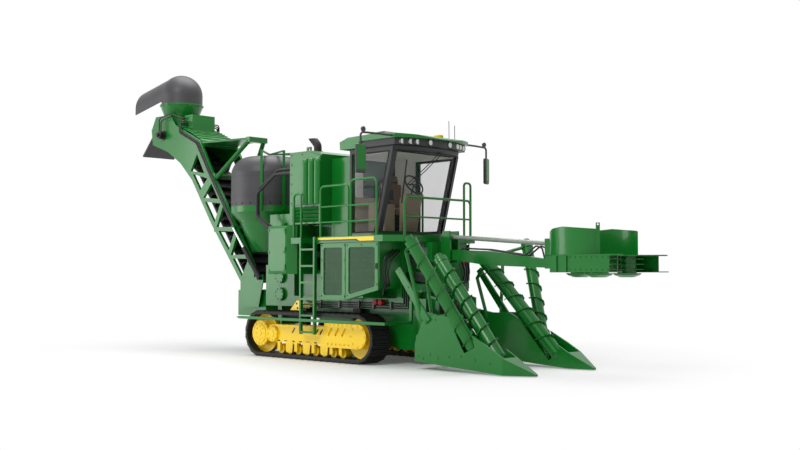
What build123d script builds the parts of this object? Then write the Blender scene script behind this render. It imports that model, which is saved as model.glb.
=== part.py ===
from build123d import *
import os
from math import atan, cos, degrees, pi, radians, sin, tan

os.makedirs("parts", exist_ok=True)

# A sugarcane harvester on tracks. X runs forward, Y to its left, Z up, in millimetres.
# Places along X are measured from a datum near the middle of the tracks.
DATUM_X = 210

# Running gear sizes
SPROCKET_X = -1270
IDLER_X = 1430
WHEEL_Z = 440
TRACK_R = 440
BELT_T = 75
TRACK_Y = 935
TRACK_W = 457
TRACK_IN = TRACK_Y - TRACK_W / 2
TRACK_OUT = TRACK_Y + TRACK_W / 2
FRAME_HALF = 150
ROLLER_R = 90
FIT = 0.3

# Chassis and deck sizes
RAIL_GAP = 91.5
RAIL_W = 120
WALL = 25
STEP_GAP = 26.5
RAIL_Y = TRACK_IN - RAIL_GAP
RAIL_IN = RAIL_Y - RAIL_W
TUNNEL_Y = RAIL_IN - WALL
DECK_Y = TRACK_OUT + STEP_GAP
DECK_Z = 2130
DECK_TOP = 2240
TUNNEL_REAR = -1000

# Cab sizes
CAB_Y = 850
CAB_TOP = 3810
GLASS = 8

# Rear end sizes
SLEW_X = -2430
HOOD_R = 790
RING_Z = 2860
HOOD_TOP = 3990
LIFT_X = -2500
LIFT_Z = 1400
ELEV_Y = 500
ELEV_T = 60
FAN2_X = -5670
FAN2_R = 470
FAN2_Z = 5440

# Front end sizes
BOOM_X = 2620
BOOM_Z = 1900
HEAD_X = 4800
HEAD_Z = 1740
LINK_RISE = 320
DIVIDER_X = 2520
DIVIDER_Z = 900


def block(x0, x1, y0, y1, z0, z1):
    centre = Pos((x0 + x1) / 2, (y0 + y1) / 2, (z0 + z1) / 2)
    return centre * Box(x1 - x0, y1 - y0, z1 - z0)


def plate_y(outline, y0, y1):
    wire = Polyline([(x, y0, z) for x, z in outline], close=True)
    return extrude(make_face(wire), amount=y1 - y0, dir=(0, 1, 0))


def plate_z(outline, z0, z1):
    wire = Polyline([(x, y, z0) for x, y in outline], close=True)
    return extrude(make_face(wire), amount=z1 - z0, dir=(0, 0, 1))


def rod(start, end, radius):
    run = Vector(*end) - Vector(*start)
    along = (Align.CENTER, Align.CENTER, Align.MIN)
    return Plane(origin=start, z_dir=run) * Cylinder(radius, run.length, align=along)


def pipe(points, radius, bend):
    path = FilletPolyline(*points, radius=bend)
    return sweep(Plane(origin=path @ 0, z_dir=path % 0) * Circle(radius), path=path)


def drum(x, y, z0, z1, radius):
    return rod((x, y, z0), (x, y, z1), radius)


def cross_drum(x, z, y0, y1, radius):
    return rod((x, y0, z), (x, y1, z), radius)


def turned(outline, x, y=0):
    wire = Polyline([(x + r, y, z) for r, z in outline], close=True)
    return revolve(make_face(wire), Axis((x, y, 0), (0, 0, 1)))


def joined(shapes):
    whole = shapes[0]
    return whole + shapes[1:] if shapes[1:] else whole


def loose(*shapes):
    return Compound(children=[solid for shape in shapes for solid in shape.solids()])


def left_of(shape):
    return mirror(shape, about=Plane.XZ)


def both(shape):
    return loose(shape, left_of(shape))


def save(name, shape):
    export_step(Pos(DATUM_X, 0, 0) * shape, f"parts/{name}.step")


# Track loops: shoes with one raised bar each, laid round the wheels
SHOES_RUN = 16
SHOES_TURN = 8
PAD_DROP = 24
JOINT_DROP = 42
# Share of one shoe's length, and depth below the tip of its bar
SHOE = [
    (0.015, JOINT_DROP), (0.03, PAD_DROP), (0.42, PAD_DROP), (0.45, 0),
    (0.53, 0), (0.56, PAD_DROP), (0.97, PAD_DROP), (0.985, JOINT_DROP),
]


def loop_point(step, radius):
    half = SHOES_RUN + SHOES_TURN
    lap = step % half
    if lap <= SHOES_RUN:
        x = SPROCKET_X + (IDLER_X - SPROCKET_X) * lap / SHOES_RUN
        rise = radius
    else:
        turn = pi * (lap - SHOES_RUN) / SHOES_TURN
        x = IDLER_X + radius * sin(turn)
        rise = radius * cos(turn)
    if step % (2 * half) >= half:
        return SPROCKET_X + IDLER_X - x, WHEEL_Z - rise
    return x, WHEEL_Z + rise


def stadium(radius, y0, y1):
    body = block(SPROCKET_X, IDLER_X, y0, y1, WHEEL_Z - radius, WHEEL_Z + radius)
    for x in (SPROCKET_X, IDLER_X):
        body += cross_drum(x, WHEEL_Z, y0, y1, radius)
    return body


shoe_steps = range(2 * (SHOES_RUN + SHOES_TURN))
loop_outline = [loop_point(i + share, TRACK_R - drop) for i in shoe_steps for share, drop in SHOE]
belt = plate_y(loop_outline, -TRACK_OUT, -TRACK_IN) - stadium(TRACK_R - BELT_T, -TRACK_OUT, -TRACK_IN)
save("track_belt_right", belt)
save("track_belt_left", left_of(belt))

# Track frames with final drive, idler cover, guards and roller brackets
CHEEK = 30
COVER_T = 30
BRACKET = 45
y_in = -TRACK_Y + FRAME_HALF
y_out = -TRACK_Y - FRAME_HALF
roller_z = WHEEL_Z - TRACK_R + BELT_T + ROLLER_R + FIT
roller_xs = [-760 + 245 * i for i in range(8)]
cheek_outline = [
    (SPROCKET_X - 120, 330), (SPROCKET_X - 120, 550), (-900, 620), (1000, 620),
    (IDLER_X + 130, 560), (IDLER_X + 130, 320), (1000, 290), (-900, 290),
]
frame = block(-870, 1030, y_out, y_in, 300, 600)
frame += plate_y(cheek_outline, y_out, y_out + CHEEK)
frame += plate_y(cheek_outline, y_in - CHEEK, y_in)
# Round covers: X, radius, how far they stand proud
for x, radius, proud in ((SPROCKET_X, 240, 45), (SPROCKET_X, 175, 60), (SPROCKET_X, 60, 74),
                         (SPROCKET_X + 350, 150, 40), (SPROCKET_X + 350, 60, 52)):
    frame += cross_drum(x, WHEEL_Z, y_out - proud, y_out, radius)
cover = block(560, IDLER_X, y_out - COVER_T, y_out, 260, 690)
cover += cross_drum(IDLER_X, 475, y_out - COVER_T, y_out, 215)
for x in (720, 900, 1080):
    slot = Rot(0, 35, 0) * Box(50, 2 * COVER_T, 170)
    cover -= Pos(x, y_out - COVER_T, 540) * slot
for i in range(6):
    cover -= block(640 + 110 * i, 700 + 110 * i, y_out - COVER_T, y_out - COVER_T / 2, 305, 335)
frame += cover
for x in roller_xs:
    frame += block(x - 40, x + 40, y_out, y_out + BRACKET, 130, 300)
    frame += block(x - 40, x + 40, y_in - BRACKET, y_in, 130, 300)
for x in (-440, 50, 540):
    frame += plate_y([(x - 110, 320), (x + 110, 320), (x + 80, 110), (x - 80, 110)], y_out - 14, y_out)
save("track_frames", both(frame))

# Track wheels: sprocket, idler and bottom rollers
WHEEL_HALF = 55
HUB_R = 95
hub_half = FRAME_HALF - CHEEK - FIT
spindle_half = FRAME_HALF - BRACKET - FIT
wheels = []
for x in (SPROCKET_X, IDLER_X):
    tread = TRACK_R - BELT_T - FIT
    wheel = cross_drum(x, WHEEL_Z, -TRACK_Y - WHEEL_HALF, -TRACK_Y + WHEEL_HALF, tread)
    wheels.append(wheel + cross_drum(x, WHEEL_Z, -TRACK_Y - hub_half, -TRACK_Y + hub_half, HUB_R))
for x in roller_xs:
    roller = cross_drum(x, roller_z, -TRACK_Y - 85, -TRACK_Y + 85, ROLLER_R)
    wheels.append(roller + cross_drum(x, roller_z, -TRACK_Y - spindle_half, -TRACK_Y + spindle_half, 28))
save("track_wheels", both(loose(*wheels)))

# Axle beams that carry the tracks under the chassis rails
AXLE_Z = 370
axles = []
for x in (-620, 880):
    beam = cross_drum(x, AXLE_Z, -TRACK_Y + FRAME_HALF, TRACK_Y - FRAME_HALF, 70)
    for y in (-RAIL_Y, RAIL_IN):
        beam += block(x - 100, x + 100, y, y + RAIL_W, AXLE_Z, 950)
    axles.append(beam)
save("axle_beams", loose(*axles))

# Feed tunnel from the throat at the front back to the chopper
side_outline = [
    (2350, 260), (2450, 720), (2780, 860), (2780, 1160),
    (2400, 1250), (TUNNEL_REAR, 1750), (TUNNEL_REAR, 880), (1850, 260),
]
tunnel = plate_y(side_outline, -TUNNEL_Y - WALL, -TUNNEL_Y)
tunnel += plate_y(side_outline, TUNNEL_Y, TUNNEL_Y + WALL)
floor_outline = [(1850, 280), (1850, 300), (TUNNEL_REAR, 920), (TUNNEL_REAR, 900)]
roof_sheet = [(2400, 1200), (2400, 1220), (TUNNEL_REAR, 1730), (TUNNEL_REAR, 1710)]
tunnel += plate_y(floor_outline, -TUNNEL_Y, TUNNEL_Y)
tunnel += plate_y(roof_sheet, -TUNNEL_Y, TUNNEL_Y)
tunnel += block(2000, 2300, -TUNNEL_Y, TUNNEL_Y, 640, 800)
save("feed_tunnel", tunnel)

# Chassis rails, posts and cross beams, with the topper mount at the front
MOUNT_Y = 350
LUG_IN = 90
LUG_T = 40
rails = []
for y0 in (-RAIL_Y, RAIL_IN):
    y1 = y0 + RAIL_W
    rail = block(TUNNEL_REAR, 2400, y0, y1, 950, 1150)
    for x in (TUNNEL_REAR, 460, 1900):
        rail += block(x, x + RAIL_W, y0, y1, 1150, DECK_Z)
    rails.append(rail + block(2280, 2400, y0, y1, 1100, 1400))
for x, z in ((TUNNEL_REAR, 1900), (1900, 1600)):
    rails.append(block(x, x + RAIL_W, -RAIL_IN, RAIL_IN, z, z + RAIL_W))
mount = block(2400, 2500, -MOUNT_Y, MOUNT_Y, 1260, DECK_Z)
mount += block(2300, 2500, -MOUNT_Y, MOUNT_Y, 2030, DECK_Z)
mount += block(2380, 2500, -RAIL_Y, RAIL_Y, 1260, 1400)
mount -= cross_drum(2450, 1700, -MOUNT_Y - 1, -MOUNT_Y + 160, 90)
ear = plate_y([(2380, 1150), (2600, 1150), (2600, 850), (2540, 820), (2380, 900)], -RAIL_Y, -RAIL_Y + 40)
mount += [ear, left_of(ear)]
lug_outline = [(2500, 1750), (2500, 2120), (2540, 2320), (2700, 2320), (2720, 1950), (2700, 1800)]
for y in (-LUG_IN - LUG_T, LUG_IN):
    mount += plate_y(lug_outline, y, y + LUG_T)
save("chassis_rails", joined(rails) + mount)

# Deck with both walkways and the ladder recesses
LADDER_X = (60, 400)
right_edge = [
    (TUNNEL_REAR, -RAIL_Y), (-290, -RAIL_Y), (-290, -DECK_Y), (LADDER_X[0], -DECK_Y),
    (LADDER_X[0], -960), (LADDER_X[1], -960), (LADDER_X[1], -DECK_Y), (2130, -DECK_Y), (2380, -930),
]
left_edge = [(x, -y) for x, y in reversed(right_edge)]
save("deck", plate_z(right_edge + left_edge, DECK_Z, DECK_TOP))

# Engine tower: fluted cooling covers over louvred intakes, sloping lid, lifting eyes
TOWER_Y = 1000
TOWER_TOP = 3860
SHELL = 30
tower_side = [(-560, 2500), (-560, TOWER_TOP), (60, TOWER_TOP), (350, 3780), (350, 2500)]
lid_z = TOWER_TOP - SHELL
inner_side = [(-530, DECK_TOP), (-530, lid_z), (55, lid_z), (320, 3750), (320, DECK_TOP)]
tower = plate_y(tower_side, -TOWER_Y, TOWER_Y) + block(-560, 350, -610, 610, DECK_TOP, 2500)
tower += block(350, 900, -750, 750, DECK_TOP, 3700)
tower -= plate_y(inner_side, -580, 580)
tower -= block(320, 870, -720, 720, DECK_TOP, 3670)
intake = block(-480, 270, -TOWER_Y - 1, -TOWER_Y + 60, 2530, 2820)
tower -= [intake, left_of(intake)]
cover_outline = [(-500, 2860), (-500, 3820), (60, 3820), (340, 3745), (340, 2860)]
cover = plate_y(cover_outline, -TOWER_Y - SHELL, -TOWER_Y)
for x in (-60, 110, 280):
    column = drum(x, -TOWER_Y - SHELL, 2860, 3640, 75) + Pos(x, -TOWER_Y - SHELL, 3640) * Sphere(75)
    cover += column - block(-200, 400, -TOWER_Y, -TOWER_Y + 120, 2800, 3800)
for i in range(4):
    louvre = Rot(35, 0, 0) * Box(752, 8, 70)
    cover += Pos(-105, -TOWER_Y + 30, 2570 + 70 * i) * louvre
cover += block(-530, -410, -615, -585, TOWER_TOP, 4000) - cross_drum(-470, 3940, -620, -580, 30)
tower += [*cover.solids(), *left_of(cover).solids()]
save("engine_tower", tower)
save("engine_block", block(-350, 750, -400, 400, DECK_TOP, 3050))

# Exhaust stack, bent back and cut off level at the tip
stack_points = [(-220, -600, TOWER_TOP + FIT), (-220, -600, 4010), (-400, -600, 4190)]
stack = pipe(stack_points, 75, 110) - pipe(stack_points, 66, 110)
collar = drum(-220, -600, TOWER_TOP + FIT, TOWER_TOP + 40, 95)
stack += collar - drum(-220, -600, TOWER_TOP, TOWER_TOP + 41, 66)
stack -= block(-600, -100, -800, -400, 4150, 4400)
save("exhaust_stack", stack)

# Rear tanks with a bevelled front corner and a filler neck
tank_plan = [(-1000, -RAIL_Y), (-1000, -DECK_Y), (-440, -DECK_Y), (-290, -DECK_Y + 150), (-290, -RAIL_Y)]
tank = plate_z(tank_plan, 1570, 2480)
tank = fillet([e for e in tank.edges() if e.center().Y < -DECK_Y + 1], 60)
tank += drum(-800, -DECK_Y + 250, 2470, 2540, 70)
save("rear_tanks", both(tank))

# Coolers behind the grilles, fixed grille panels and hinged grille doors
COOLER_Y = -DECK_Y + 50
DOOR_T = 40
RIM = 75
SHEET = 5
HINGE_X = 2030
HINGE_Y = -DECK_Y + DOOR_T / 2
HINGE_R = 12
cooler = block(560, 2000, COOLER_Y, -RAIL_Y, 1320, DECK_Z) + block(560, 1600, COOLER_Y, -RAIL_Y, 1160, 1320)
save("coolers", both(cooler))


def grille(outline, x0, x1):
    face = make_face(Polyline([(x, -DECK_Y, z) for x, z in outline], close=True))
    hole = offset(face, amount=-RIM)
    hole = fillet(hole.vertices(), 50)
    opening = extrude(hole, amount=DOOR_T, dir=(0, 1, 0))
    body = extrude(face, amount=DOOR_T, dir=(0, 1, 0)) - opening
    slats = [opening & block(x0, x1, -DECK_Y + 20, -DECK_Y + 20 + SHEET, 1000, 2200)]
    for i in range(9):
        z = 1260 + 90 * i
        slats.append(opening & block(x0, x1, -DECK_Y + 12, -DECK_Y + 22, z, z + 10))
    return body + slats


panel = grille([(545, 1120), (545, 2115), (1190, 2115), (1190, 1120)], 545, 1190)
panel += block(545, 575, -DECK_Y + DOOR_T, COOLER_Y, 1300, 2000)
panel += block(1160, 1190, -DECK_Y + DOOR_T, COOLER_Y, 1300, 2000)
door = grille([(1205, 1120), (1205, 2115), (2015, 2115), (2015, 1300)], 1205, 2015)
door += drum(HINGE_X, HINGE_Y, 1450, DECK_Z - 0.5, HINGE_R)
door += block(2010, HINGE_X, HINGE_Y - 8, HINGE_Y + 8, 1450, 2100)
save("grille_panels", both(panel))
save("grille_door_right", door)
save("grille_door_left", left_of(door))

# Ladders, and the step bars with pointed tails along the outside of the tracks
STILE = 40
STEP_D = 60
ladder = []
for x in (LADDER_X[0] - STILE, LADDER_X[1]):
    ladder.append(block(x, x + STILE, -DECK_Y - STEP_D, -DECK_Y, 480, DECK_TOP))
for i in range(6):
    z = 500 + 300 * i
    ladder.append(block(LADDER_X[0], LADDER_X[1], -DECK_Y - STEP_D, -DECK_Y, z, z + 35))
bar_outline = [(-1800, 740), (-1700, 710), (2300, 710), (2300, 760), (-1700, 760)]
ladder.append(plate_y(bar_outline, -DECK_Y - 2 * STEP_D, -DECK_Y - STEP_D))
ladder.append(block(2240, 2300, -DECK_Y - STEP_D, -RAIL_Y, 710, 760))
ladder.append(block(2240, 2300, -RAIL_Y - 40, -RAIL_Y, 760, 1100))
save("ladders", both(joined(ladder)))

# Railings on the walkways and round the windscreen: hoops of bent pipe with mid rails
RAIL_R = 21
MID_R = 16
RAIL_INSET = 35
rail_y = -DECK_Y + RAIL_INSET
# Right walkway hoops: X from, X to, height
hoops = [(500, 1240, 3150), (1300, 1950, 3230)]
railings = []
for x0, x1, z in hoops:
    points = [(x0, rail_y, DECK_TOP), (x0, rail_y, z), (x1, rail_y, z), (x1, rail_y, DECK_TOP)]
    railings.append(pipe(points, RAIL_R, 90))
for z in (2500, 2780):
    railings.append(rod((500, rail_y, z), (1950, rail_y, z), MID_R))
grab = [(-250, rail_y, DECK_TOP), (-250, rail_y, 3050), (-40, rail_y, 3050), (-40, rail_y, DECK_TOP)]
rear_grab = pipe(grab, RAIL_R, 80)
left_grab = [(500, -rail_y, DECK_TOP), (500, -rail_y, 3150), (860, -rail_y, 3150), (860, -rail_y, DECK_TOP)]
BASKET_X = 2330
BASKET_Y = 860
BASKET_Z = 2900
basket_points = [
    (BASKET_X, -BASKET_Y, DECK_TOP), (BASKET_X, -BASKET_Y, BASKET_Z),
    (BASKET_X, BASKET_Y, BASKET_Z), (BASKET_X, BASKET_Y, DECK_TOP),
]
basket = pipe(basket_points, RAIL_R, 90) + rod((BASKET_X, -BASKET_Y, 2560), (BASKET_X, BASKET_Y, 2560), MID_R)
left_hoop = [(2250, 960, DECK_TOP), (2250, 960, 3230), (2250, 780, 3230), (2250, 780, DECK_TOP)]
basket += pipe(left_hoop, RAIL_R, 60)
save("railings", loose(joined(railings), rear_grab, left_of(rear_grab), pipe(left_grab, RAIL_R, 90), basket))

# Cab shell: floor, pillars and rear wall with the windows cut through, bowed out at sill and header
FRAME_T = 55
BULGE = 140
PILLAR = 85
FLOOR_Z = DECK_TOP + 60
SILL_Z = FLOOR_Z + 15
HEADER_Z = CAB_TOP - 80
DOOR_LOW = FLOOR_Z + 10
DOOR_TOP = CAB_TOP - 90
CAB_REAR = 945
FRONT_X = (1655, 2065)
FRONT_LEAN = (FRONT_X[1] - FRONT_X[0]) / (CAB_TOP - DECK_TOP)
REAR_WINDOW_Z = 2900


def front_x(z):
    return FRONT_X[0] + FRONT_LEAN * (z - DECK_TOP)


def cab_side(low, high, rear, front):
    back = CAB_REAR + rear
    return [(back, low), (back, high), (front_x(high) - front, high), (front_x(low) - front, low)]


def bow(z0, z1, half, depth):
    x = front_x(z0)
    chord = Line((x, half, z0), (x, -half, z0))
    arc = ThreePointArc((x, -half, z0), (x + depth, 0, z0), (x, half, z0))
    slope = Vector(FRONT_LEAN, 0, 1)
    return extrude(make_face([chord, arc]), amount=(z1 - z0) * slope.length, dir=slope.normalized())


window_outline = cab_side(SILL_Z, DOOR_TOP, 65, PILLAR)
rear_window = (-CAB_Y + 120, CAB_Y - 120, REAR_WINDOW_Z, CAB_TOP - 120)
inner_outline = cab_side(FLOOR_Z, CAB_TOP - 60, FRAME_T, FRAME_T)
cab = plate_y(cab_side(DECK_TOP, CAB_TOP, 0, 0), -CAB_Y, CAB_Y)
cab -= plate_y(inner_outline, -CAB_Y + FRAME_T, CAB_Y - FRAME_T)
cab += [bow(DECK_TOP, SILL_Z, CAB_Y, BULGE), bow(HEADER_Z, CAB_TOP, CAB_Y, BULGE)]
cab -= plate_y(window_outline, -CAB_Y - 1, -CAB_Y + FRAME_T + 1)
cab -= plate_y(cab_side(FLOOR_Z, HEADER_Z, 85, PILLAR - 10), CAB_Y - FRAME_T - 1, CAB_Y + 1)
cab -= block(front_x(SILL_Z) - FRAME_T - 5, FRONT_X[1] + 300, -CAB_Y + 70, CAB_Y - 70, SILL_Z, HEADER_Z)
cab -= block(CAB_REAR - 1, CAB_REAR + FRAME_T + 1, *rear_window)
save("cab_shell", cab)

# Cab glass: bowed windscreen, fixed side window and rear window
screen = bow(SILL_Z + FIT, HEADER_Z - FIT, CAB_Y - 20, BULGE)
screen -= Pos(-GLASS, 0, 0) * screen
side_glass = plate_y(window_outline, -CAB_Y + 20, -CAB_Y + 20 + GLASS)
rear_glass = block(CAB_REAR + 15, CAB_REAR + 15 + GLASS, *rear_window)
save("cab_glass", loose(screen, side_glass, rear_glass))

# Cab door on the left, hinged along the front pillar
PIN_R = 12
PIN_SET = 15
pane_outline = cab_side(DOOR_LOW + 50, DOOR_TOP - 50, 145, PILLAR + 55)
cab_door = plate_y(cab_side(DOOR_LOW, DOOR_TOP, 95, PILLAR), CAB_Y - 40, CAB_Y)
cab_door -= plate_y(pane_outline, CAB_Y - 41, CAB_Y + 1)
door_foot = Vector(front_x(DOOR_LOW) - PILLAR + PIN_SET, CAB_Y + PIN_R + FIT, DOOR_LOW)
door_head = Vector(front_x(DOOR_TOP) - PILLAR + PIN_SET, CAB_Y + PIN_R + FIT, DOOR_TOP)
for low, high in ((0.15, 0.25), (0.7, 0.8)):
    foot = door_foot + (door_head - door_foot) * low
    head = door_foot + (door_head - door_foot) * high
    leaf = [(foot.X - 80, foot.Z), (foot.X - 16, foot.Z), (head.X - 16, head.Z), (head.X - 80, head.Z)]
    hook = [(foot.X - 17, foot.Z), (foot.X, foot.Z), (head.X, head.Z), (head.X - 17, head.Z)]
    cab_door += [rod(foot, head, PIN_R), plate_y(hook, CAB_Y + 6, CAB_Y + 20)]
    cab_door += plate_y(leaf, CAB_Y, CAB_Y + 20)
save("cab_door", cab_door)
save("cab_door_glass", plate_y(pane_outline, CAB_Y - 24, CAB_Y - 24 + GLASS))

# Cab roof: a cap with a bowed front edge over a set-back band that carries the lamps
ROOF_Y = 960
ROOF_REAR = 790
ROOF_NOSE = 2480
ROOF_TURN = 2200
BAND_X = 1300
BAND_Y = ROOF_Y - 40
BAND_NOSE = ROOF_NOSE - 90
BAND_TURN = ROOF_TURN - 50
VISOR_Z = CAB_TOP + 115
LAMP_R = 52
LAMP_Z = CAB_TOP + 58
LAMP_PROUD = 12


def bowed_plan(rear, turn, nose, half, z, height):
    sides = Polyline((turn, half, z), (rear, half, z), (rear, -half, z), (turn, -half, z))
    front = ThreePointArc((turn, -half, z), (nose, 0, z), (turn, half, z))
    return extrude(make_face([*sides.edges(), front]), amount=height, dir=(0, 0, 1))


roof_outline = [
    (ROOF_REAR + 10, CAB_TOP), (ROOF_REAR, VISOR_Z + 25), (1000, VISOR_Z + 90), (1750, VISOR_Z + 110),
    (ROOF_NOSE - 100, VISOR_Z + 60), (ROOF_NOSE, VISOR_Z + 15), (ROOF_NOSE, VISOR_Z), (BAND_X, VISOR_Z),
    (BAND_X, CAB_TOP),
]
plan = bowed_plan(ROOF_REAR - 30, ROOF_TURN, ROOF_NOSE, ROOF_Y, CAB_TOP, 300)
roof = plate_y(roof_outline, -ROOF_Y, ROOF_Y) & plan
save("cab_roof", roof)
visor = bowed_plan(BAND_X + FIT, BAND_TURN, BAND_NOSE, BAND_Y, CAB_TOP, VISOR_Z - CAB_TOP - FIT)
lamps = []
for y in (-800, -650, -525, -255, 255, 525, 650, 800):
    face_x = BAND_NOSE - (BAND_NOSE - BAND_TURN) * (y / BAND_Y) ** 2 + LAMP_PROUD
    lamps.append(rod((face_x - 110, y, LAMP_Z), (face_x, y, LAMP_Z), LAMP_R))
for lamp in lamps:
    visor -= lamp
save("roof_visor", visor)
receiver = drum(2200, 150, VISOR_Z + 40, VISOR_Z + 137, 85)
receiver = fillet(receiver.edges().group_by(Axis.Z)[-1], 30) - roof
save("roof_lamps", loose(*lamps, receiver))

# Seat, side console and the dash under the steering wheel
seat = block(1180, 1560, -260, 260, 2620, 2760) + block(1100, 1220, -250, 250, 2700, 3350)
seat += block(1280, 1520, -150, 150, FLOOR_Z, 2620)
save("operator_seat", seat)
dash_rear = front_x(FLOOR_Z) - FRAME_T - 50
dash_outline = [
    (dash_rear, FLOOR_Z), (dash_rear + 10, 2900), (dash_rear + 70, 3010), (dash_rear + 180, 3010),
    (dash_rear + 40, SILL_Z), (dash_rear + 40, FLOOR_Z),
]
console = plate_y(dash_outline, -210, 210)
save("cab_console", loose(console, block(1130, 1540, -560, -300, FLOOR_Z, 2820)))

# Mirrors: moulded shells turned towards the seat, and round ones, on bent arms from the roof corners
MIRROR_X = 2060
MIRROR_Y = 1640
MIRROR_TURN = -20
MIRROR_ARM_Z = VISOR_Z + 35
shell = fillet(block(-30, 30, -95, 95, 3270, 3760).edges(), 25)
arm_points = [
    (MIRROR_X + 60, -ROOF_Y - FIT, MIRROR_ARM_Z), (MIRROR_X + 60, -1250, MIRROR_ARM_Z),
    (MIRROR_X, -MIRROR_Y, MIRROR_ARM_Z), (MIRROR_X, -MIRROR_Y, 3700),
]
wing = Pos(MIRROR_X, -MIRROR_Y, 0) * Rot(0, 0, MIRROR_TURN) * shell + pipe(arm_points, 18, 60)
round_z = MIRROR_ARM_Z + 55
wing += rod((MIRROR_X - 15, -MIRROR_Y + 60, round_z), (MIRROR_X + 15, -MIRROR_Y + 60, round_z), 45)
save("mirrors", both(wing))

# Chopper box with its round covers, and the seat of the slew turntable
SEAT_TOP = 660
chopper = block(-1750, TUNNEL_REAR, -RAIL_Y, RAIL_Y, 950, 1750)
chopper -= block(-1751, -1500, -TUNNEL_Y, TUNNEL_Y, 1100, 1751)
for x, z in ((-1280, 1180), (-1280, 1520)):
    chopper += cross_drum(x, z, -RAIL_Y - 60, RAIL_Y + 60, 130)
chopper += block(SLEW_X, -1750, -300, 300, 560, SEAT_TOP) + drum(SLEW_X, 0, 560, SEAT_TOP, 380)
chopper += block(-1760, -1640, -300, 300, 560, 950)
save("chopper_box", chopper)

# Extractor chamber, funnel and the cage straps over the primary hood
SKIN = 30
STRAP_T = 24
STRAP_GAP = 10
CAGE_Z = 4040
chamber = block(-1750, TUNNEL_REAR, -560, 560, 1750, DECK_Z) + block(-1750, -1050, -520, 520, DECK_Z, 2750)
throat = [(360, 2020), (610, 2620), (HOOD_R, RING_Z - 30), (HOOD_R, RING_Z + 90)]
funnel = turned([(0, 2020), *throat, (0, RING_Z + 90)], SLEW_X)
funnel += block(-2100, -1750, -240, 240, 2350, 2740)
hollow = [(r - SKIN, z + SKIN) for r, z in throat]
funnel -= turned([(0, 2020 + SKIN), *hollow, (0, RING_Z + 90 + SKIN)], SLEW_X)
strap_in = HOOD_R + STRAP_GAP
strap_out = strap_in + STRAP_T
for angle in (-50, -18, 18, 50):
    strap = block(strap_in, strap_out, -25, 25, RING_Z, CAGE_Z + STRAP_T)
    strap += block(-30, strap_out, -25, 25, CAGE_Z, CAGE_Z + STRAP_T)
    strap += block(HOOD_R - 15, strap_out, -25, 25, RING_Z, RING_Z + 80)
    funnel += Pos(SLEW_X, 0, 0) * Rot(0, 0, angle) * strap
save("extractor_chamber", funnel + chamber)

# Primary hood: a moulded dome with two stiffening ribs and a side outlet, and its fan
HOOD_T = 20
HOOD_LOW = RING_Z + 90 + FIT


def dome(radius, shoulder, low, top, crown, x):
    out = x + radius
    rim = Polyline((out, 0, shoulder), (out, 0, low), (x, 0, low), (x, 0, top), (x + crown, 0, top))
    swell_x = x + crown + 0.7 * (radius - crown)
    swell_z = shoulder + 0.7 * (top - shoulder)
    curve = ThreePointArc((x + crown, 0, top), (swell_x, 0, swell_z), (x + radius, 0, shoulder))
    return revolve(make_face([*rim.edges(), curve]), Axis((x, 0, 0), (0, 0, 1)))


hood = dome(HOOD_R, 3640, HOOD_LOW, HOOD_TOP, 380, SLEW_X)
for z in (3150, 3560):
    hood += drum(SLEW_X, 0, z, z + 35, HOOD_R + 5)
hood -= dome(HOOD_R - HOOD_T, 3630, HOOD_LOW - 1, HOOD_TOP - HOOD_T, 370, SLEW_X)
hood -= block(SLEW_X - 420, SLEW_X + 420, 300, 900, 3200, 3540)
save("primary_hood", hood)
fan = drum(SLEW_X, 0, 2020 + SKIN + FIT, 2960, 60) + drum(SLEW_X, 0, 2800, 2920, 170)
for i in range(4):
    blade = Rot(25, 0, 0) * Box(520, 200, 14)
    fan += Pos(SLEW_X, 0, 2880) * Rot(0, 0, 90 * i) * Pos(415, 0, 0) * blade
save("primary_fan", fan)

# Hoses from the engine tower down beside the primary hood
HOSE_R = 28
hoses = []
for i in range(2):
    y = -720 - 80 * i
    high = 3600 - 90 * i
    bulge_x = -1800 + 60 * i
    foot_x = -1350 - 90 * i
    route = [
        (-560 - FIT, y, high), (-1250, y, high), (bulge_x, y - 60, high - 350), (bulge_x, y - 60, 2700),
        (foot_x, y, 2450), (foot_x, y, 1950), (foot_x, -560 - FIT, 1950),
    ]
    hoses.append(pipe(route, HOSE_R, 120))
save("extractor_hoses", loose(*hoses))

# Slew frame: turntable, boot hopper and lift cheeks
BOOT_T = 20
boot = block(-2900, -1990, -430, 430, 720, 1240)
boot -= block(-2900 + BOOT_T, -1990 - BOOT_T, -430 + BOOT_T, 430 - BOOT_T, 720 + BOOT_T, 1241)
cheek_plate = [(-2700, 900), (-2700, 1480), (-2350, 1480), (-1960, 1560), (-1960, 1420), (-2100, 900)]
cheek = plate_y(cheek_plate, -530, -508) + block(-2650, -2150, -530, -420, 900, 1000)
save("slew_frame", drum(SLEW_X, 0, SEAT_TOP + FIT, 720, 360) + [boot, cheek, left_of(cheek)])

# Elevator side frames with truss windows, cross tubes, lifting gantry and head
lower = [(-2640, 1300), (-3790, 2650), (-4510, 3620), (-4960, 4020), (-5460, 4310), (-6080, 4520)]
upper = [(-6140, 4880), (-5150, 4880), (-4240, 4480), (-3670, 3600), (-2290, 1740), (-2290, 1380)]
bays = [
    ((-2700, 1520), (-3010, 1890), (-2480, 1880)), ((-3080, 1960), (-2560, 1970), (-2870, 2390)),
    ((-3160, 2060), (-3520, 2480), (-2960, 2450)), ((-3590, 2560), (-3040, 2550), (-3370, 2990)),
    ((-3670, 2660), (-4020, 3120), (-3460, 3060)), ((-4080, 3210), (-3540, 3160), (-3790, 3510)),
    ((-4200, 3380), (-4480, 3750), (-3940, 3620)), ((-4560, 3820), (-4050, 3740), (-4330, 4180)),
]
side = plate_y(lower + upper, -ELEV_Y, -ELEV_Y + ELEV_T)
for bay in bays:
    side -= plate_y(bay, -ELEV_Y - 1, -ELEV_Y + ELEV_T + 1)
GANTRY_X = -2870
GANTRY_Y = 190
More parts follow.
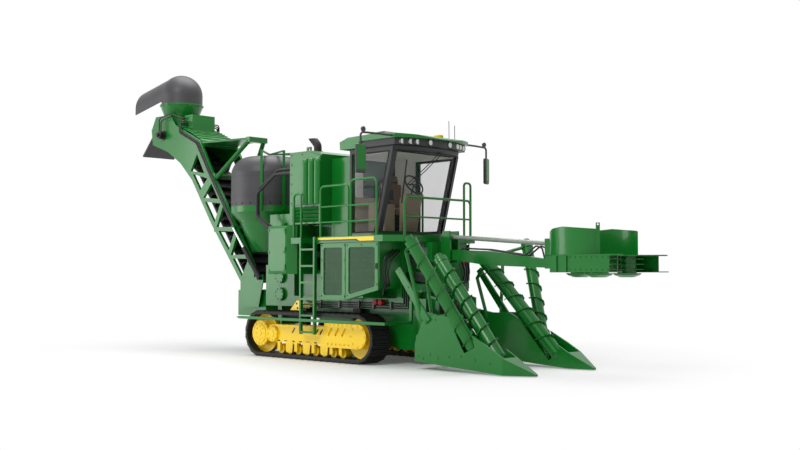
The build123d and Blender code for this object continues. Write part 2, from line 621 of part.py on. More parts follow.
side += rod((-3640, -ELEV_Y + ELEV_T / 2, 3620), (GANTRY_X, -GANTRY_Y, 4390), 48)
side += cross_drum(LIFT_X, LIFT_Z, -ELEV_Y - 7.5, -ELEV_Y + 7.5, 30)
side += cross_drum(-2900, 2540, -600, -ELEV_Y, 25)
side += plate_y([(-6120, 4880), (-5960, 5150), (-5400, 5150), (-5180, 4880)], -ELEV_Y, -ELEV_Y + 20)
elevator = [side, left_of(side)]
for x, z in ((-2640, 1420), (-3660, 2500), (-4300, 3380), (-3720, 3680), (-5000, 4800)):
    elevator.append(cross_drum(x, z, -ELEV_Y + 10, ELEV_Y - 10, 40))
elevator.append(block(GANTRY_X - 60, GANTRY_X + 60, -GANTRY_Y - 50, GANTRY_Y + 50, 4340, 4450))
gantry_top = [(-4330, -ELEV_Y), (-4330, ELEV_Y), (GANTRY_X, GANTRY_Y), (GANTRY_X, -GANTRY_Y)]
elevator.append(plate_z(gantry_top, 4400, 4440))
elevator.append(block(-5100, -4800, -300, 300, 4750, 5120))

# Secondary extractor neck on the elevator head
NECK_R = 0.78 * FAN2_R
NECK_T = 20
HEAD_COVER = 4840
neck_line = [(NECK_R, HEAD_COVER), (NECK_R, FAN2_Z - 330), (FAN2_R, FAN2_Z - 60), (FAN2_R, FAN2_Z)]
neck_hole = [(r - NECK_T, z) for r, z in neck_line]
neck = block(-6080, -5150, -ELEV_Y + 10, ELEV_Y - 10, HEAD_COVER, HEAD_COVER + 40)
neck += turned([(0, HEAD_COVER), *neck_line, (0, FAN2_Z)], FAN2_X)
neck += drum(FAN2_X, 0, FAN2_Z - 40, FAN2_Z, FAN2_R + 15)
neck -= turned([(0, HEAD_COVER - 1), *neck_hole, (0, FAN2_Z + 1)], FAN2_X)
neck += block(FAN2_X - NECK_R + 5, FAN2_X + NECK_R - 5, -40, 40, 5020, 5060)
save("elevator_frame", joined(elevator) + neck)
fan2 = drum(FAN2_X, 0, 5060 + FIT, FAN2_Z - 10, 50)
for i in range(4):
    blade = Rot(25, 0, 0) * Box(0.8 * FAN2_R, 130, 10)
    fan2 += Pos(FAN2_X, 0, FAN2_Z - 42) * Rot(0, 0, 90 * i) * Pos(0.48 * FAN2_R, 0, 0) * blade
save("secondary_fan", fan2)

# Secondary hood: a dome that runs out into an arched, drooping spout open underneath
HOOD2_T = 18
SPOUT_RUN = Vector(-1230, 0, -226)
SPOUT_FLOOR = FAN2_Z + 86
H2_LOW = FAN2_Z + FIT


def arch(radius, floor, x):
    spring = SPOUT_FLOOR + 144
    legs = Polyline((x, -radius, spring), (x, -radius, floor), (x, radius, floor), (x, radius, spring))
    crown = ThreePointArc((x, radius, spring), (x, 0, spring + radius), (x, -radius, spring))
    return make_face([*legs.edges(), crown])


def bell(radius, low):
    centre = SPOUT_FLOOR + 134
    return drum(FAN2_X, 0, low, centre, radius) + Pos(FAN2_X, 0, centre) * Sphere(radius)


hood2 = bell(FAN2_R, H2_LOW) - block(-7000, -4000, -1000, 1000, 4000, H2_LOW)
hood2 += extrude(arch(FAN2_R - 10, SPOUT_FLOOR, FAN2_X), amount=SPOUT_RUN.length, dir=SPOUT_RUN.normalized())
run = SPOUT_RUN.length + 5
bore = arch(FAN2_R - 10 - HOOD2_T, SPOUT_FLOOR - 400, FAN2_X)
hood2 -= extrude(bore, amount=run, dir=SPOUT_RUN.normalized())
hood2 -= bell(FAN2_R - HOOD2_T, H2_LOW - 600)
save("secondary_hood", hood2)

# Elevator conveyor with slats square to its path
CHAIN_Y = ELEV_Y - ELEV_T - FIT
CHAIN_T = 20
SLAT_H = 110
SLAT_T = 16
SLAT_PITCH = 230
chain_path = [Vector(-2600, 0, 1470), Vector(-4360, 0, 3800), Vector(-5700, 0, 4580)]
ways = [(b - a).normalized() for a, b in zip(chain_path, chain_path[1:])]
rises = [Vector(w.Z, 0, -w.X) for w in ways]
rise_points = [rises[0], (rises[0] + rises[1]).normalized(), rises[1]]
top_side = [p + r * CHAIN_T for p, r in zip(chain_path, rise_points)]
low_side = [p - r * CHAIN_T for p, r in zip(chain_path, rise_points)]
conveyor = plate_y([(p.X, p.Z) for p in top_side + low_side[::-1]], -CHAIN_Y, CHAIN_Y)
for start, end, way, rise in zip(chain_path, chain_path[1:], ways, rises):
    for i in range(int((end - start).length // SLAT_PITCH)):
        foot = start + way * (SLAT_PITCH * (i + 0.5))
        half = way * (SLAT_T / 2)
        corners = [foot - half, foot + half, foot + half + rise * SLAT_H, foot - half + rise * SLAT_H]
        conveyor += plate_y([(c.X, c.Z) for c in corners], -CHAIN_Y, CHAIN_Y)
save("elevator_conveyor", conveyor)

# Lift cylinders
CYL_Y = 580
BARREL_R = 45
BARREL_L = 800
CYL_ROD_R = 28
cyl_base = Vector(-2020, -CYL_Y, 1490)
cyl_eye = Vector(-2900, -CYL_Y, 2540)
way = (cyl_eye - cyl_base).normalized()
barrel = rod(cyl_base, cyl_base + way * BARREL_L, BARREL_R)
barrel -= rod(cyl_base + way * 60, cyl_base + way * (BARREL_L + 1), CYL_ROD_R + 1)
barrel += cross_drum(cyl_base.X, cyl_base.Z, -CYL_Y - 40, -530 - FIT, 40)
save("lift_barrels", both(barrel))
save("lift_rods", both(rod(cyl_base + way * 500, cyl_eye - way * 26, CYL_ROD_R)))

# Bin flap at the elevator mouth
flap = plate_y([(-6108, 4807), (-6128, 4825), (-6640, 4310), (-6600, 4290)], -420, 420)
flap += cross_drum(-6115, 4815, -CHAIN_Y, CHAIN_Y, 14)
save("bin_flap", flap)

# Topper boom with its hoses, and the link above it
PIN_Y = LUG_IN - FIT
BOOM_HALF = 80
boom_outline = [
    (BOOM_X - 70, BOOM_Z - 60), (BOOM_X - 70, BOOM_Z + 100), (3500, BOOM_Z + 60), (HEAD_X + 60, HEAD_Z + 60),
    (HEAD_X + 60, HEAD_Z - 70), (3500, BOOM_Z - 180),
]
boom = plate_y(boom_outline, -BOOM_HALF, BOOM_HALF)
for x, z in ((BOOM_X, BOOM_Z), (HEAD_X, HEAD_Z)):
    boom += cross_drum(x, z, -PIN_Y, PIN_Y, 40)
save("topper_boom", boom)
boom_hoses = []
for y in (-62, 62):
    route = [
        (2900, y, BOOM_Z + 87), (2980, y, BOOM_Z + 112), (3500, y, BOOM_Z + 85), (4300, y, HEAD_Z + 140),
        (4520, y, HEAD_Z + 290), (4640, y, HEAD_Z + 250), (4690, y, HEAD_Z + 75),
    ]
    boom_hoses.append(pipe(route, 14, 50) - plate_y(boom_outline, -BOOM_HALF, BOOM_HALF))
save("topper_hoses", loose(*boom_hoses))
link_z = (BOOM_Z + LINK_RISE, HEAD_Z + LINK_RISE)
link = rod((BOOM_X, 0, link_z[0]), (HEAD_X, 0, link_z[1]), 38)
link += [cross_drum(BOOM_X, link_z[0], -PIN_Y, PIN_Y, 45), cross_drum(HEAD_X, link_z[1], -PIN_Y, PIN_Y, 45)]
save("topper_link", link)

# Topper head: forked top plate with side channels, a shroud with a sloping rim, and pivot cheeks
HEAD_TOP = 1870
HEAD_LOW = 1600
ARM_Y = 690
SHROUD_X = 5600
SHROUD_R = 690
MOUTH_HALF = 50
GATHER_X = 5930
GATHER_Y = 390
ARM_END = GATHER_X + 550
fork = [
    (4950, -300), (5050, -560), (5300, -ARM_Y), (ARM_END - 100, -ARM_Y), (ARM_END, -ARM_Y + 30),
    (ARM_END, -ARM_Y + 90), (GATHER_X + 130, -180),
]
fork += [(x, -y) for x, y in reversed(fork)]
head = plate_z(fork, HEAD_TOP - 20, HEAD_TOP)
channel = block(5250, ARM_END - 170, -ARM_Y, -ARM_Y + 15, HEAD_LOW, HEAD_TOP - 20)
channel += block(5250, ARM_END, -ARM_Y, -ARM_Y + 80, HEAD_LOW, HEAD_LOW + 15)
for x in (5300, 5480):
    channel += block(x, x + 90, -ARM_Y - 20, -ARM_Y, HEAD_LOW, HEAD_TOP - 20)
rim_line = [
    (4800, HEAD_TOP), (4800, 2080), (4990, 2200), (5220, 2270), (5480, 2295), (6000, 2250), (6400, 2120),
    (6400, HEAD_TOP),
]
shroud = drum(SHROUD_X, 0, HEAD_TOP - 1, 2300, SHROUD_R)
shroud -= drum(SHROUD_X, 0, HEAD_TOP - 2, 2301, SHROUD_R - 15)
shroud &= plate_y(rim_line, -SHROUD_R - 1, SHROUD_R + 1)
mouth_y = 800 * tan(radians(MOUTH_HALF))
mouth = [(SHROUD_X, 0), (SHROUD_X + 800, -mouth_y), (SHROUD_X + 1600, 0), (SHROUD_X + 800, mouth_y)]
shroud -= plate_z(mouth, HEAD_TOP, 2310)
rib = block(SHROUD_R - 5, SHROUD_R + 25, -30, 30, HEAD_TOP - 1, 2340)
rib -= rod((SHROUD_R - 10, 0, 2315), (SHROUD_R + 30, 0, 2315), 14)
rib = Pos(SHROUD_X, 0, 0) * Rot(0, 0, -MOUTH_HALF - 2) * rib
lug = [(4740, 1660), (4740, 2140), (4860, 2140), (5060, HEAD_TOP), (5060, HEAD_TOP - 20), (4860, 1660)]
head += [channel, left_of(channel), shroud, rib, drum(5330, 0, HEAD_TOP, 2060, 120)]
for y in (-LUG_IN - LUG_T, LUG_IN):
    head += plate_y(lug, y, y + LUG_T)
save("topper_head", head)

# Topper rotors: shredder drum with knives, and gatherer drums with toothed discs
ROTOR_TOP = HEAD_TOP - 20 - FIT
bowl = [(0, 1525), (110, 1525), (200, 1560), (225, 1590), (0, 1590)]


def star(x, y, z, inner, outer, teeth):
    points = []
    for i in range(teeth):
        for share, radius in ((0, inner), (0.25, outer), (0.5, outer), (0.75, inner)):
            turn = 2 * pi * (i + share) / teeth
            points.append((x + radius * cos(turn), y + radius * sin(turn)))
    return plate_z(points, z, z + 12)


shredder = drum(5330, 0, 1590, ROTOR_TOP, 150) + turned(bowl, 5330)
for i in range(6):
    shredder += Pos(5330, 0, 1720) * Rot(0, 0, 60 * i) * Pos(195, 0, 0) * Box(110, 16, 180)
save("shredder_drum", shredder)
gather = drum(GATHER_X, -GATHER_Y, 1590, ROTOR_TOP, 150) + turned(bowl, GATHER_X, -GATHER_Y)
for z in (1640, 1720, 1800):
    gather += star(GATHER_X, -GATHER_Y, z, 190, 260, 9)
save("gatherer_right", gather)
save("gatherer_left", left_of(gather))

# Scrolls: tubes with a helical flight of short flats, each leaning with the helix
FLIGHT_STEPS = 10
FLIGHT_T = 10
SLEEVE_R = 45
SLEEVE_END = 6


def along(start, end, distance):
    return start + (end - start).normalized() * distance


def scroll(top, low, tube, flight, pitch):
    length = (low - top).length
    lean = degrees(atan(pitch / (2 * pi * tube)))
    flat = 2 * flight * tan(pi / FLIGHT_STEPS) / cos(atan(pitch / (2 * pi * tube))) + 2
    height = flight - tube + 8
    flats = []
    for i in range(int((length - 160) / pitch * FLIGHT_STEPS)):
        spin = Rot(0, 0, 360 * i / FLIGHT_STEPS)
        place = Pos(0, 0, 80 + pitch * i / FLIGHT_STEPS)
        tile = Rot(lean, 0, 0) * Box(height, flat, FLIGHT_T)
        flats.append(place * spin * Pos(flight - height / 2, 0, 0) * tile)
    up = (Align.CENTER, Align.CENTER, Align.MIN)
    body = Cylinder(tube, length, align=up) + flats
    spindle = rod(along(top, low, FIT - SLEEVE_END), along(top, low, length + SLEEVE_END - FIT), SLEEVE_R)
    return Plane(origin=top, z_dir=low - top) * body + spindle


out_top = Vector(3150, -1490, 2020)
out_low = Vector(3920, -940, 400)
in_top = Vector(2970, -593, 1740)
in_low = Vector(4320, -762, 240)
OUT_TUBE = 100
OUT_FLIGHT = 128
IN_TUBE = 116
IN_FLIGHT = 150
SWEEP_GAP = 28
out_scroll = scroll(out_top, out_low, OUT_TUBE, OUT_FLIGHT, 290)
in_scroll = scroll(in_top, in_low, IN_TUBE, IN_FLIGHT, 300)
save("outer_scroll_right", out_scroll)
save("outer_scroll_left", left_of(out_scroll))
save("inner_scroll_right", in_scroll)
save("inner_scroll_left", left_of(in_scroll))

# Crop dividers: side sheets, sole, drawn-out toe, scroll caps and carrying arms
SHEET_OUT = 1040
SHEET_IN = 670
SHEET_T = 30
PIVOT_Y = 740
sheet_outline = [(4600, 15), (4600, 280), (4350, 420), (3400, 900), (2960, 900), (2740, 420), (2740, 130)]
divider = plate_y(sheet_outline, -SHEET_OUT, -SHEET_OUT + SHEET_T)
divider += plate_y(sheet_outline, -SHEET_IN - SHEET_T, -SHEET_IN)
sole = [(2740, 130), (2740, 160), (4600, 45), (4600, 15)]
divider += plate_y(sole, -SHEET_OUT + SHEET_T, -SHEET_IN - SHEET_T)
divider += block(2740, 2860, -SHEET_OUT + SHEET_T, -SHEET_IN - SHEET_T, 420, 560)
toe = []
# Toe sections: X, outer Y, inner Y, top
for x, y0, y1, top in ((4600, -SHEET_OUT, -SHEET_IN, 280), (5060, -810, -750, 45)):
    toe.append(make_face(Polyline((x, y0, 15), (x, y1, 15), (x, y1, top), (x, y0, top), close=True)))
divider += loft(toe, ruled=True)
bracket = [(2480, 860), (2480, 960), (2600, 960), (2960, 900), (2960, 700), (2740, 420)]
divider += plate_y(bracket, -PIVOT_Y, -PIVOT_Y + 40)
divider += cross_drum(DIVIDER_X, DIVIDER_Z, -PIVOT_Y, -RAIL_Y - FIT, 40)
lift_arm = [(3000, 760), (3110, 830), (2410, 1690), (2320, 1620)]
divider += plate_y(lift_arm, -SHEET_OUT - 35, -SHEET_OUT)
# Scrolls in the divider: top, low end, flight radius, cap radius, cone radius, cone length
for top, low, flight, cap, cone, reach in ((out_top, out_low, OUT_FLIGHT, 108, 100, 330),
                                           (in_top, in_low, IN_FLIGHT, 122, 116, 210)):
    length = (low - top).length
    divider -= rod(along(top, low, -SLEEVE_END), along(top, low, length + SLEEVE_END), flight + SWEEP_GAP)
    nose = Cone(cone, 40, reach, align=(Align.CENTER, Align.CENTER, Align.MIN))
    divider += Plane(origin=along(top, low, length + SLEEVE_END), z_dir=low - top) * nose
    divider += rod(along(top, low, -110), along(top, low, -SLEEVE_END), cap)
    divider += rod(along(top, low, -190), along(top, low, -110), 0.6 * cap)
arm_out = [(2900, -SHEET_OUT + 15, 800), (2760, -1270, 1950), along(out_top, out_low, -60)]
arm_in = [(2840, -720, 800), (2660, -660, 1500), along(in_top, in_low, -50)]
for low, knee, top in (arm_out, arm_in):
    divider += [rod(low, knee, 30), rod(knee, top, 30), Pos(*knee) * Sphere(30)]
save("divider_right", divider)
save("divider_left", left_of(divider))

# Knockdown roller, base cutters and butt lifter in the throat
ROLLER_HALF = TUNNEL_Y - 30


def finned(x, z, core, reach, fins):
    roller = cross_drum(x, z, -ROLLER_HALF, ROLLER_HALF, core)
    for i in range(fins):
        fin = Pos((core + reach) / 2 - 5, 0, 0) * Box(reach - core + 10, 2 * ROLLER_HALF, 20)
        roller += Pos(x, 0, z) * Rot(0, 360 * i / fins, 0) * fin
    return roller + cross_drum(x, z, FIT - TUNNEL_Y, TUNNEL_Y - FIT, 45)


save("knockdown_roller", finned(2640, 1010, 110, 148, 6))
save("butt_lifter", finned(1780, 560, 95, 128, 4))
CUTTER_X = 2150
CUTTER_Y = 240
cutter = drum(CUTTER_X, -CUTTER_Y, 140, 640 - FIT, 60) + drum(CUTTER_X, -CUTTER_Y, 120, 140, 165)
for i in range(5):
    blade = Pos(185, 0, 0) * Box(70, 60, 8)
    cutter += Pos(CUTTER_X, -CUTTER_Y, 120) * Rot(0, 0, 72 * i) * blade
save("base_cutter_right", cutter)
save("base_cutter_left", left_of(cutter))
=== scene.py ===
import bmesh
import bpy
import math
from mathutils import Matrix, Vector


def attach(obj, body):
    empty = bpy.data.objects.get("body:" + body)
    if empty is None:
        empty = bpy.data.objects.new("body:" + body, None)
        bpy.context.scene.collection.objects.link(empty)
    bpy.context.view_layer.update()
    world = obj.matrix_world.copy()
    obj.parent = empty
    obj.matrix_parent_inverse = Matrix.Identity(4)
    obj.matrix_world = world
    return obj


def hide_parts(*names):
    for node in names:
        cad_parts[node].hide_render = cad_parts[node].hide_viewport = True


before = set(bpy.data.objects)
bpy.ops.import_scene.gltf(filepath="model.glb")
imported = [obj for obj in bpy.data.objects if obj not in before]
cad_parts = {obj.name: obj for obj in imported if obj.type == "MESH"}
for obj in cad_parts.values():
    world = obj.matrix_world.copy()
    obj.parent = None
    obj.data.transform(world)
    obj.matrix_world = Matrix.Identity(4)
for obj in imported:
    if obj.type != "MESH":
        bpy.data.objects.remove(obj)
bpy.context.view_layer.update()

# Chassis, deck, tunnel and housings
# Welded steel plate and box section, sprayed bright green after welding, so the paint
# runs unbroken over every edge and shows a soft highlight from its clear top coat.


def linear(code):
    """The linear colour of an sRGB hex value."""
    parts = [int(code[i:i + 2], 16) / 255 for i in (1, 3, 5)]
    return [p / 12.92 if p <= 0.04045 else ((p + 0.055) / 1.055) ** 2.4 for p in parts] + [1]


def add_node(tree, kind, values=None, links=None, **settings):
    """A node of that kind with its settings, its input values and the links into it."""
    new = tree.nodes.new(kind)
    for name, value in settings.items():
        setattr(new, name, value)
    for name, value in (values or {}).items():
        new.inputs[name].default_value = value
    for name, (source, output) in (links or {}).items():
        tree.links.new(source.outputs[output], new.inputs[name])
    return new


def finish_named(name, values):
    """A new material with one shader, its node tree and that shader."""
    material = bpy.data.materials.new(name)
    material.use_nodes = True
    shader = material.node_tree.nodes["Principled BSDF"]
    for socket, value in values.items():
        shader.inputs[socket].default_value = value
    return material, material.node_tree, shader


def enamel(name, colour, faded, peel_mm):
    """Two-pack enamel: a faint orange peel, a slow drift of shade and dust that dulls the gloss in patches."""
    material, tree, shader = finish_named(name, {"IOR": 1.5, "Specular IOR Level": 0.28, "Coat Weight": 0.3, "Coat Roughness": 0.1})
    where = add_node(tree, "ShaderNodeTexCoord")
    drift = add_node(tree, "ShaderNodeTexNoise", {"Scale": 1.4, "Detail": 3.0}, {"Vector": (where, "Object")})
    shade = add_node(tree, "ShaderNodeMix", {"A": linear(colour), "B": linear(faded)}, {"Factor": (drift, "Fac")},
                     data_type="RGBA")
    tree.links.new(shade.outputs["Result"], shader.inputs["Base Color"])
    dust = add_node(tree, "ShaderNodeTexNoise", {"Scale": 9.0, "Detail": 5.0}, {"Vector": (where, "Object")})
    gloss = add_node(tree, "ShaderNodeMapRange", {"To Min": 0.26, "To Max": 0.4}, {"Value": (dust, "Fac")})
    tree.links.new(gloss.outputs["Result"], shader.inputs["Roughness"])
    peel = add_node(tree, "ShaderNodeTexNoise", {"Scale": 1000 / peel_mm}, {"Vector": (where, "Object")})
    skin = add_node(tree, "ShaderNodeBump", {"Strength": 0.04, "Distance": 0.0006}, {"Height": (peel, "Fac")})
    tree.links.new(skin.outputs["Normal"], shader.inputs["Normal"])
    return material


def dress(names, material):
    """Those CAD nodes take that one material."""
    for name in names:
        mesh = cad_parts[name].data
        mesh.materials.clear()
        mesh.materials.append(material)


# The peel is drawn at 12 mm, coarser than real spray, so that it shows at this distance.
PEEL_MM = 12
green_enamel = enamel("sprayed green enamel", "#056a1c", "#0a7a26", PEEL_MM)
dress(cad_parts, green_enamel)

# Bolted joints of the housings
# Hexagon-head screws with washers, plated and then painted with the part they hold.
DATUM = 210


def at(x, y, z):
    """A place given in the drawing's millimetres, in metres in the frame."""
    return Vector(((x + DATUM) / 1000, y / 1000, z / 1000))


def settle(name, mesh, material, body, bevel=0.0):
    """A finished piece: mesh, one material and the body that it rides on."""
    if material:
        mesh.materials.clear()
        mesh.materials.append(material)
    shape = bmesh.new()
    shape.from_mesh(mesh)
    bmesh.ops.recalc_face_normals(shape, faces=shape.faces)
    shape.to_mesh(mesh)
    shape.free()
    thing = bpy.data.objects.new(name, mesh)
    bpy.context.collection.objects.link(thing)
    if bevel:
        soften = thing.modifiers.new("edges", "BEVEL")
        soften.width = bevel
        soften.segments = 2
    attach(thing, body)
    return thing


def new_tree(name, sizes):
    """An empty geometry tree with its sockets; returns the tree, its input and output nodes and the sizes' identifiers."""
    tree = bpy.data.node_groups.new(name, "GeometryNodeTree")
    tree.interface.new_socket("Geometry", in_out="OUTPUT", socket_type="NodeSocketGeometry")
    tree.interface.new_socket("Geometry", in_out="INPUT", socket_type="NodeSocketGeometry")
    keys = {}
    for size in sizes:
        keys[size] = tree.interface.new_socket(size, in_out="INPUT", socket_type="NodeSocketFloat").identifier
    keys["Material"] = tree.interface.new_socket("Material", in_out="INPUT", socket_type="NodeSocketMaterial").identifier
    return tree, add_node(tree, "NodeGroupInput"), add_node(tree, "NodeGroupOutput"), keys


def grown(base, tree, keys, values):
    """The plain mesh that a geometry tree makes of a base mesh."""
    holder = bpy.data.objects.new("seed", base)
    bpy.context.collection.objects.link(holder)
    maker = holder.modifiers.new("maker", "NODES")
    maker.node_group = tree
    for name, value in values.items():
        maker[keys[name]] = value
    bpy.context.view_layer.update()
    seen = holder.evaluated_get(bpy.context.evaluated_depsgraph_get())
    mesh = bpy.data.meshes.new_from_object(seen)
    bpy.data.objects.remove(holder)
    return mesh


def stamped(tree, given, out, piece):
    """Ends a tree: a piece at each point, turned to its facing, made real and given its material."""
    facing = add_node(tree, "GeometryNodeInputNamedAttribute", {"Name": "facing"}, data_type="FLOAT_VECTOR")
    turn = add_node(tree, "FunctionNodeAlignRotationToVector", {}, {"Vector": (facing, "Attribute")}, axis="Z")
    set_out = add_node(tree, "GeometryNodeInstanceOnPoints", {}, {
        "Points": (given, "Geometry"), "Instance": (piece, 0), "Rotation": (turn, 0)})
    real = add_node(tree, "GeometryNodeRealizeInstances", {}, {"Geometry": (set_out, 0)})
    painted = add_node(tree, "GeometryNodeSetMaterial", {}, {"Geometry": (real, 0), "Material": (given, "Material")})
    tree.links.new(painted.outputs[0], out.inputs[0])


def faced(name, places):
    """A mesh of bare points, each with the way that it faces."""
    seed = bpy.data.meshes.new(name)
    seed.from_pydata([place for place, way in places], [], [])
    ways = seed.attributes.new("facing", "FLOAT_VECTOR", "POINT")
    for i, (place, way) in enumerate(places):
        ways.data[i].vector = way
    return seed


bolt_tree, given, out, bolt_keys = new_tree("hexagon screws", ["Across flats", "Head height"])
half = add_node(bolt_tree, "ShaderNodeMath", {1: 0.58}, {0: (given, "Across flats")}, operation="MULTIPLY")
wide = add_node(bolt_tree, "ShaderNodeMath", {1: 0.95}, {0: (given, "Across flats")}, operation="MULTIPLY")
thin = add_node(bolt_tree, "ShaderNodeMath", {1: 0.4}, {0: (given, "Head height")}, operation="MULTIPLY")
head = add_node(bolt_tree, "GeometryNodeMeshCylinder", {"Vertices": 6}, {"Radius": (half, 0), "Depth": (given, "Head height")})
washer = add_node(bolt_tree, "GeometryNodeMeshCylinder", {"Vertices": 12}, {"Radius": (wide, 0), "Depth": (thin, 0)})
lift = add_node(bolt_tree, "ShaderNodeCombineXYZ", {}, {"Z": (thin, 0)})
raised = add_node(bolt_tree, "GeometryNodeTransform", {}, {"Geometry": (head, "Mesh"), "Translation": (lift, 0)})
screw = add_node(bolt_tree, "GeometryNodeJoinGeometry")
bolt_tree.links.new(raised.outputs[0], screw.inputs[0])
bolt_tree.links.new(washer.outputs[0], screw.inputs[0])
stamped(bolt_tree, given, out, screw)


def bolts(name, places, material, body, across=0.024, height=0.012):
    """Screws at places, each a point and the way that it faces, as one piece."""
    sizes = {"Across flats": across, "Head height": height, "Material": material}
    mesh = grown(faced(name, places), bolt_tree, bolt_keys, sizes)
    return settle(name, mesh, None, body)


SIDES = ((-1, "right", Vector((0, -1, 0))), (1, "left", Vector((0, 1, 0))))
TOWER_BOLT_Y = 1030
tower_bolts = []
for side, word, way in SIDES:
    for z in range(2900, 3801, 180):
        tower_bolts.append((at(-475, side * TOWER_BOLT_Y, z), way))
        tower_bolts.append((at(-180, side * TOWER_BOLT_Y, z), way))
bolts("tower_cover_bolts", tower_bolts, green_enamel, "machine")
tank_bolts = []
for side, word, way in SIDES:
    for x in (-940, -500):
        for z in (1640, 1980, 2400):
            tank_bolts.append((at(x, side * 1190, z), way))
bolts("tank_bolts", tank_bolts, green_enamel, "machine", 0.03, 0.014)
chopper_bolts = []
for side, word, way in SIDES:
    for z in (1180, 1520):
        for i in range(8):
            turn_by = math.pi * (i + 0.5) / 4
            chopper_bolts.append((at(-1280 + 105 * math.cos(turn_by), side * 675, z + 105 * math.sin(turn_by)), way))
bolts("chopper_cover_bolts", chopper_bolts, green_enamel, "machine")

# Track frames, rollers and final drives
# Cast and welded beams that carry the rollers, sprayed yellow, with a ring of screws
# round each drive cover and a row along the idler cover.
yellow_enamel = enamel("sprayed yellow enamel", "#ffd200", "#ffda12", PEEL_MM)
dress(["track_frames", "track_wheels"], yellow_enamel)
FRAME_OUT = 1085
frame_bolts = []
for side, word, way in SIDES:
    for x, z, radius, count, proud in ((-1270, 440, 210, 14, 45), (-1270, 440, 120, 8, 60), (-920, 440, 120, 8, 40),
                                       (1430, 475, 180, 8, 30)):
        for i in range(count):
            turn_by = 2 * math.pi * i / count
            place = (x + radius * math.cos(turn_by), side * (FRAME_OUT + proud), z + radius * math.sin(turn_by))
            frame_bolts.append((at(*place), way))
    for x in range(600, 1300, 110):
        frame_bolts.append((at(x, side * (FRAME_OUT + 30), 660), way))
bolts("track_frame_bolts", frame_bolts, yellow_enamel, "machine", 0.03, 0.016)

# Yellow brackets over the tracks
# Burnt steel plate, sprayed with the track frames and held to the chassis rails by two
# round bars.


def sweep_mesh(name, sections, closed=False):
    """A skin through like sections of places in the drawing's millimetres, capped at its ends or closed on itself."""
    points = [at(*place) for section in sections for place in section]
    side = len(sections[0])
    rows = len(sections)
    faces = []
    for row in range(rows if closed else rows - 1):
        here = row * side
        there = (row + 1) % rows * side
        for i in range(side):
            j = (i + 1) % side
            faces.append((here + i, here + j, there + j, there + i))
    if not closed:
        faces.append(tuple(range(side)))
        faces.append(tuple((rows - 1) * side + i for i in range(side)))
    mesh = bpy.data.meshes.new(name)
    mesh.from_pydata(points, [], faces)
    return mesh


def tube_mesh(name, routes, radius, closed=False):
    """A round tube along each route of places in the drawing's millimetres, as one mesh."""
    curve = bpy.data.curves.new(name, "CURVE")
    curve.dimensions = "3D"
    curve.bevel_depth = radius
    curve.bevel_resolution = 3
    curve.use_fill_caps = True
    for route in routes:
        line = curve.splines.new("POLY")
        line.points.add(len(route) - 1)
        for point, place in zip(line.points, route):
            point.co = (*at(*place), 1)
        line.use_cyclic_u = closed
    holder = bpy.data.objects.new(name, curve)
    bpy.context.collection.objects.link(holder)
    mesh = bpy.data.meshes.new_from_object(holder.evaluated_get(bpy.context.evaluated_depsgraph_get()))
    bpy.data.objects.remove(holder)
    for face in mesh.polygons:
        face.use_smooth = True
    return mesh


RAIL_FACE = 615
BRACKET_Y = 1000
PLATE_T = 16
bracket_outline = [(-540, 892), (-337, 1085), (-150, 1035), (-255, 892)]
for side, word, way in SIDES:
    far = side * (BRACKET_Y - PLATE_T)
    plate = [[(x, y, z) for x, z in bracket_outline] for y in (side * BRACKET_Y, far)]
    settle(f"track_bracket_{word}", sweep_mesh(f"track_bracket_{word}", plate), yellow_enamel, "machine", 0.003)
    bars = [[(x, side * RAIL_FACE, z), (x, far, z)] for x, z in ((-430, 930), (-210, 1010))]
    settle(f"track_bracket_bars_{word}", tube_mesh(f"track_bracket_bars_{word}", bars, 0.02), yellow_enamel, "machine")

# Track loops, axles and running steel
# Forged shoes left dark from heat treatment and rubbed bright by the ground on their bars,
# so the tint lifts in small worn patches.
forged_steel, tree, shader = finish_named("dark forged steel", {"IOR": 1.5, "Metallic": 0.35})
where = add_node(tree, "ShaderNodeTexCoord")
scale_spots = add_node(tree, "ShaderNodeTexNoise", {"Scale": 22.0, "Detail": 6.0}, {"Vector": (where, "Object")})
tint = add_node(tree, "ShaderNodeMix", {"A": linear("#0c0c0d"), "B": linear("#232221")}, {"Factor": (scale_spots, "Fac")},
                data_type="RGBA")
tree.links.new(tint.outputs["Result"], shader.inputs["Base Color"])
rough = add_node(tree, "ShaderNodeMapRange", {"To Min": 0.42, "To Max": 0.7}, {"Value": (scale_spots, "Fac")})
tree.links.new(rough.outputs["Result"], shader.inputs["Roughness"])
pits = add_node(tree, "ShaderNodeBump", {"Strength": 0.25, "Distance": 0.002}, {"Height": (scale_spots, "Fac")})
tree.links.new(pits.outputs["Normal"], shader.inputs["Normal"])
dress(["track_belt_right", "track_belt_left", "axle_beams", "engine_block", "exhaust_stack", "base_cutter_right",
       "base_cutter_left", "primary_fan", "secondary_fan", "elevator_conveyor", "butt_lifter", "knockdown_roller",
       "lift_barrels"], forged_steel)

# Road tread of the track loops
# Two low bars forged into each shoe beside its tall one, and the four bolt heads that hold
# the shoe to its chain; bars and bolts are the same dark steel.
bar_tree, given, out, bar_keys = new_tree("tread bars", ["Bar width", "Bar length", "Bar height"])
size = add_node(bar_tree, "ShaderNodeCombineXYZ", {}, {
    "X": (given, "Bar width"), "Y": (given, "Bar length"), "Z": (given, "Bar height")})
bar = add_node(bar_tree, "GeometryNodeMeshCube", {}, {"Size": (size, 0)})
stamped(bar_tree, given, out, bar)
SPROCKET_X = -1270
IDLER_X = 1430
WHEEL_Z = 440
TRACK_Y = 935
TRACK_W = 457
SHOES_RUN = 16
SHOES_TURN = 8
BAR_H = 18
PAD_R = 416


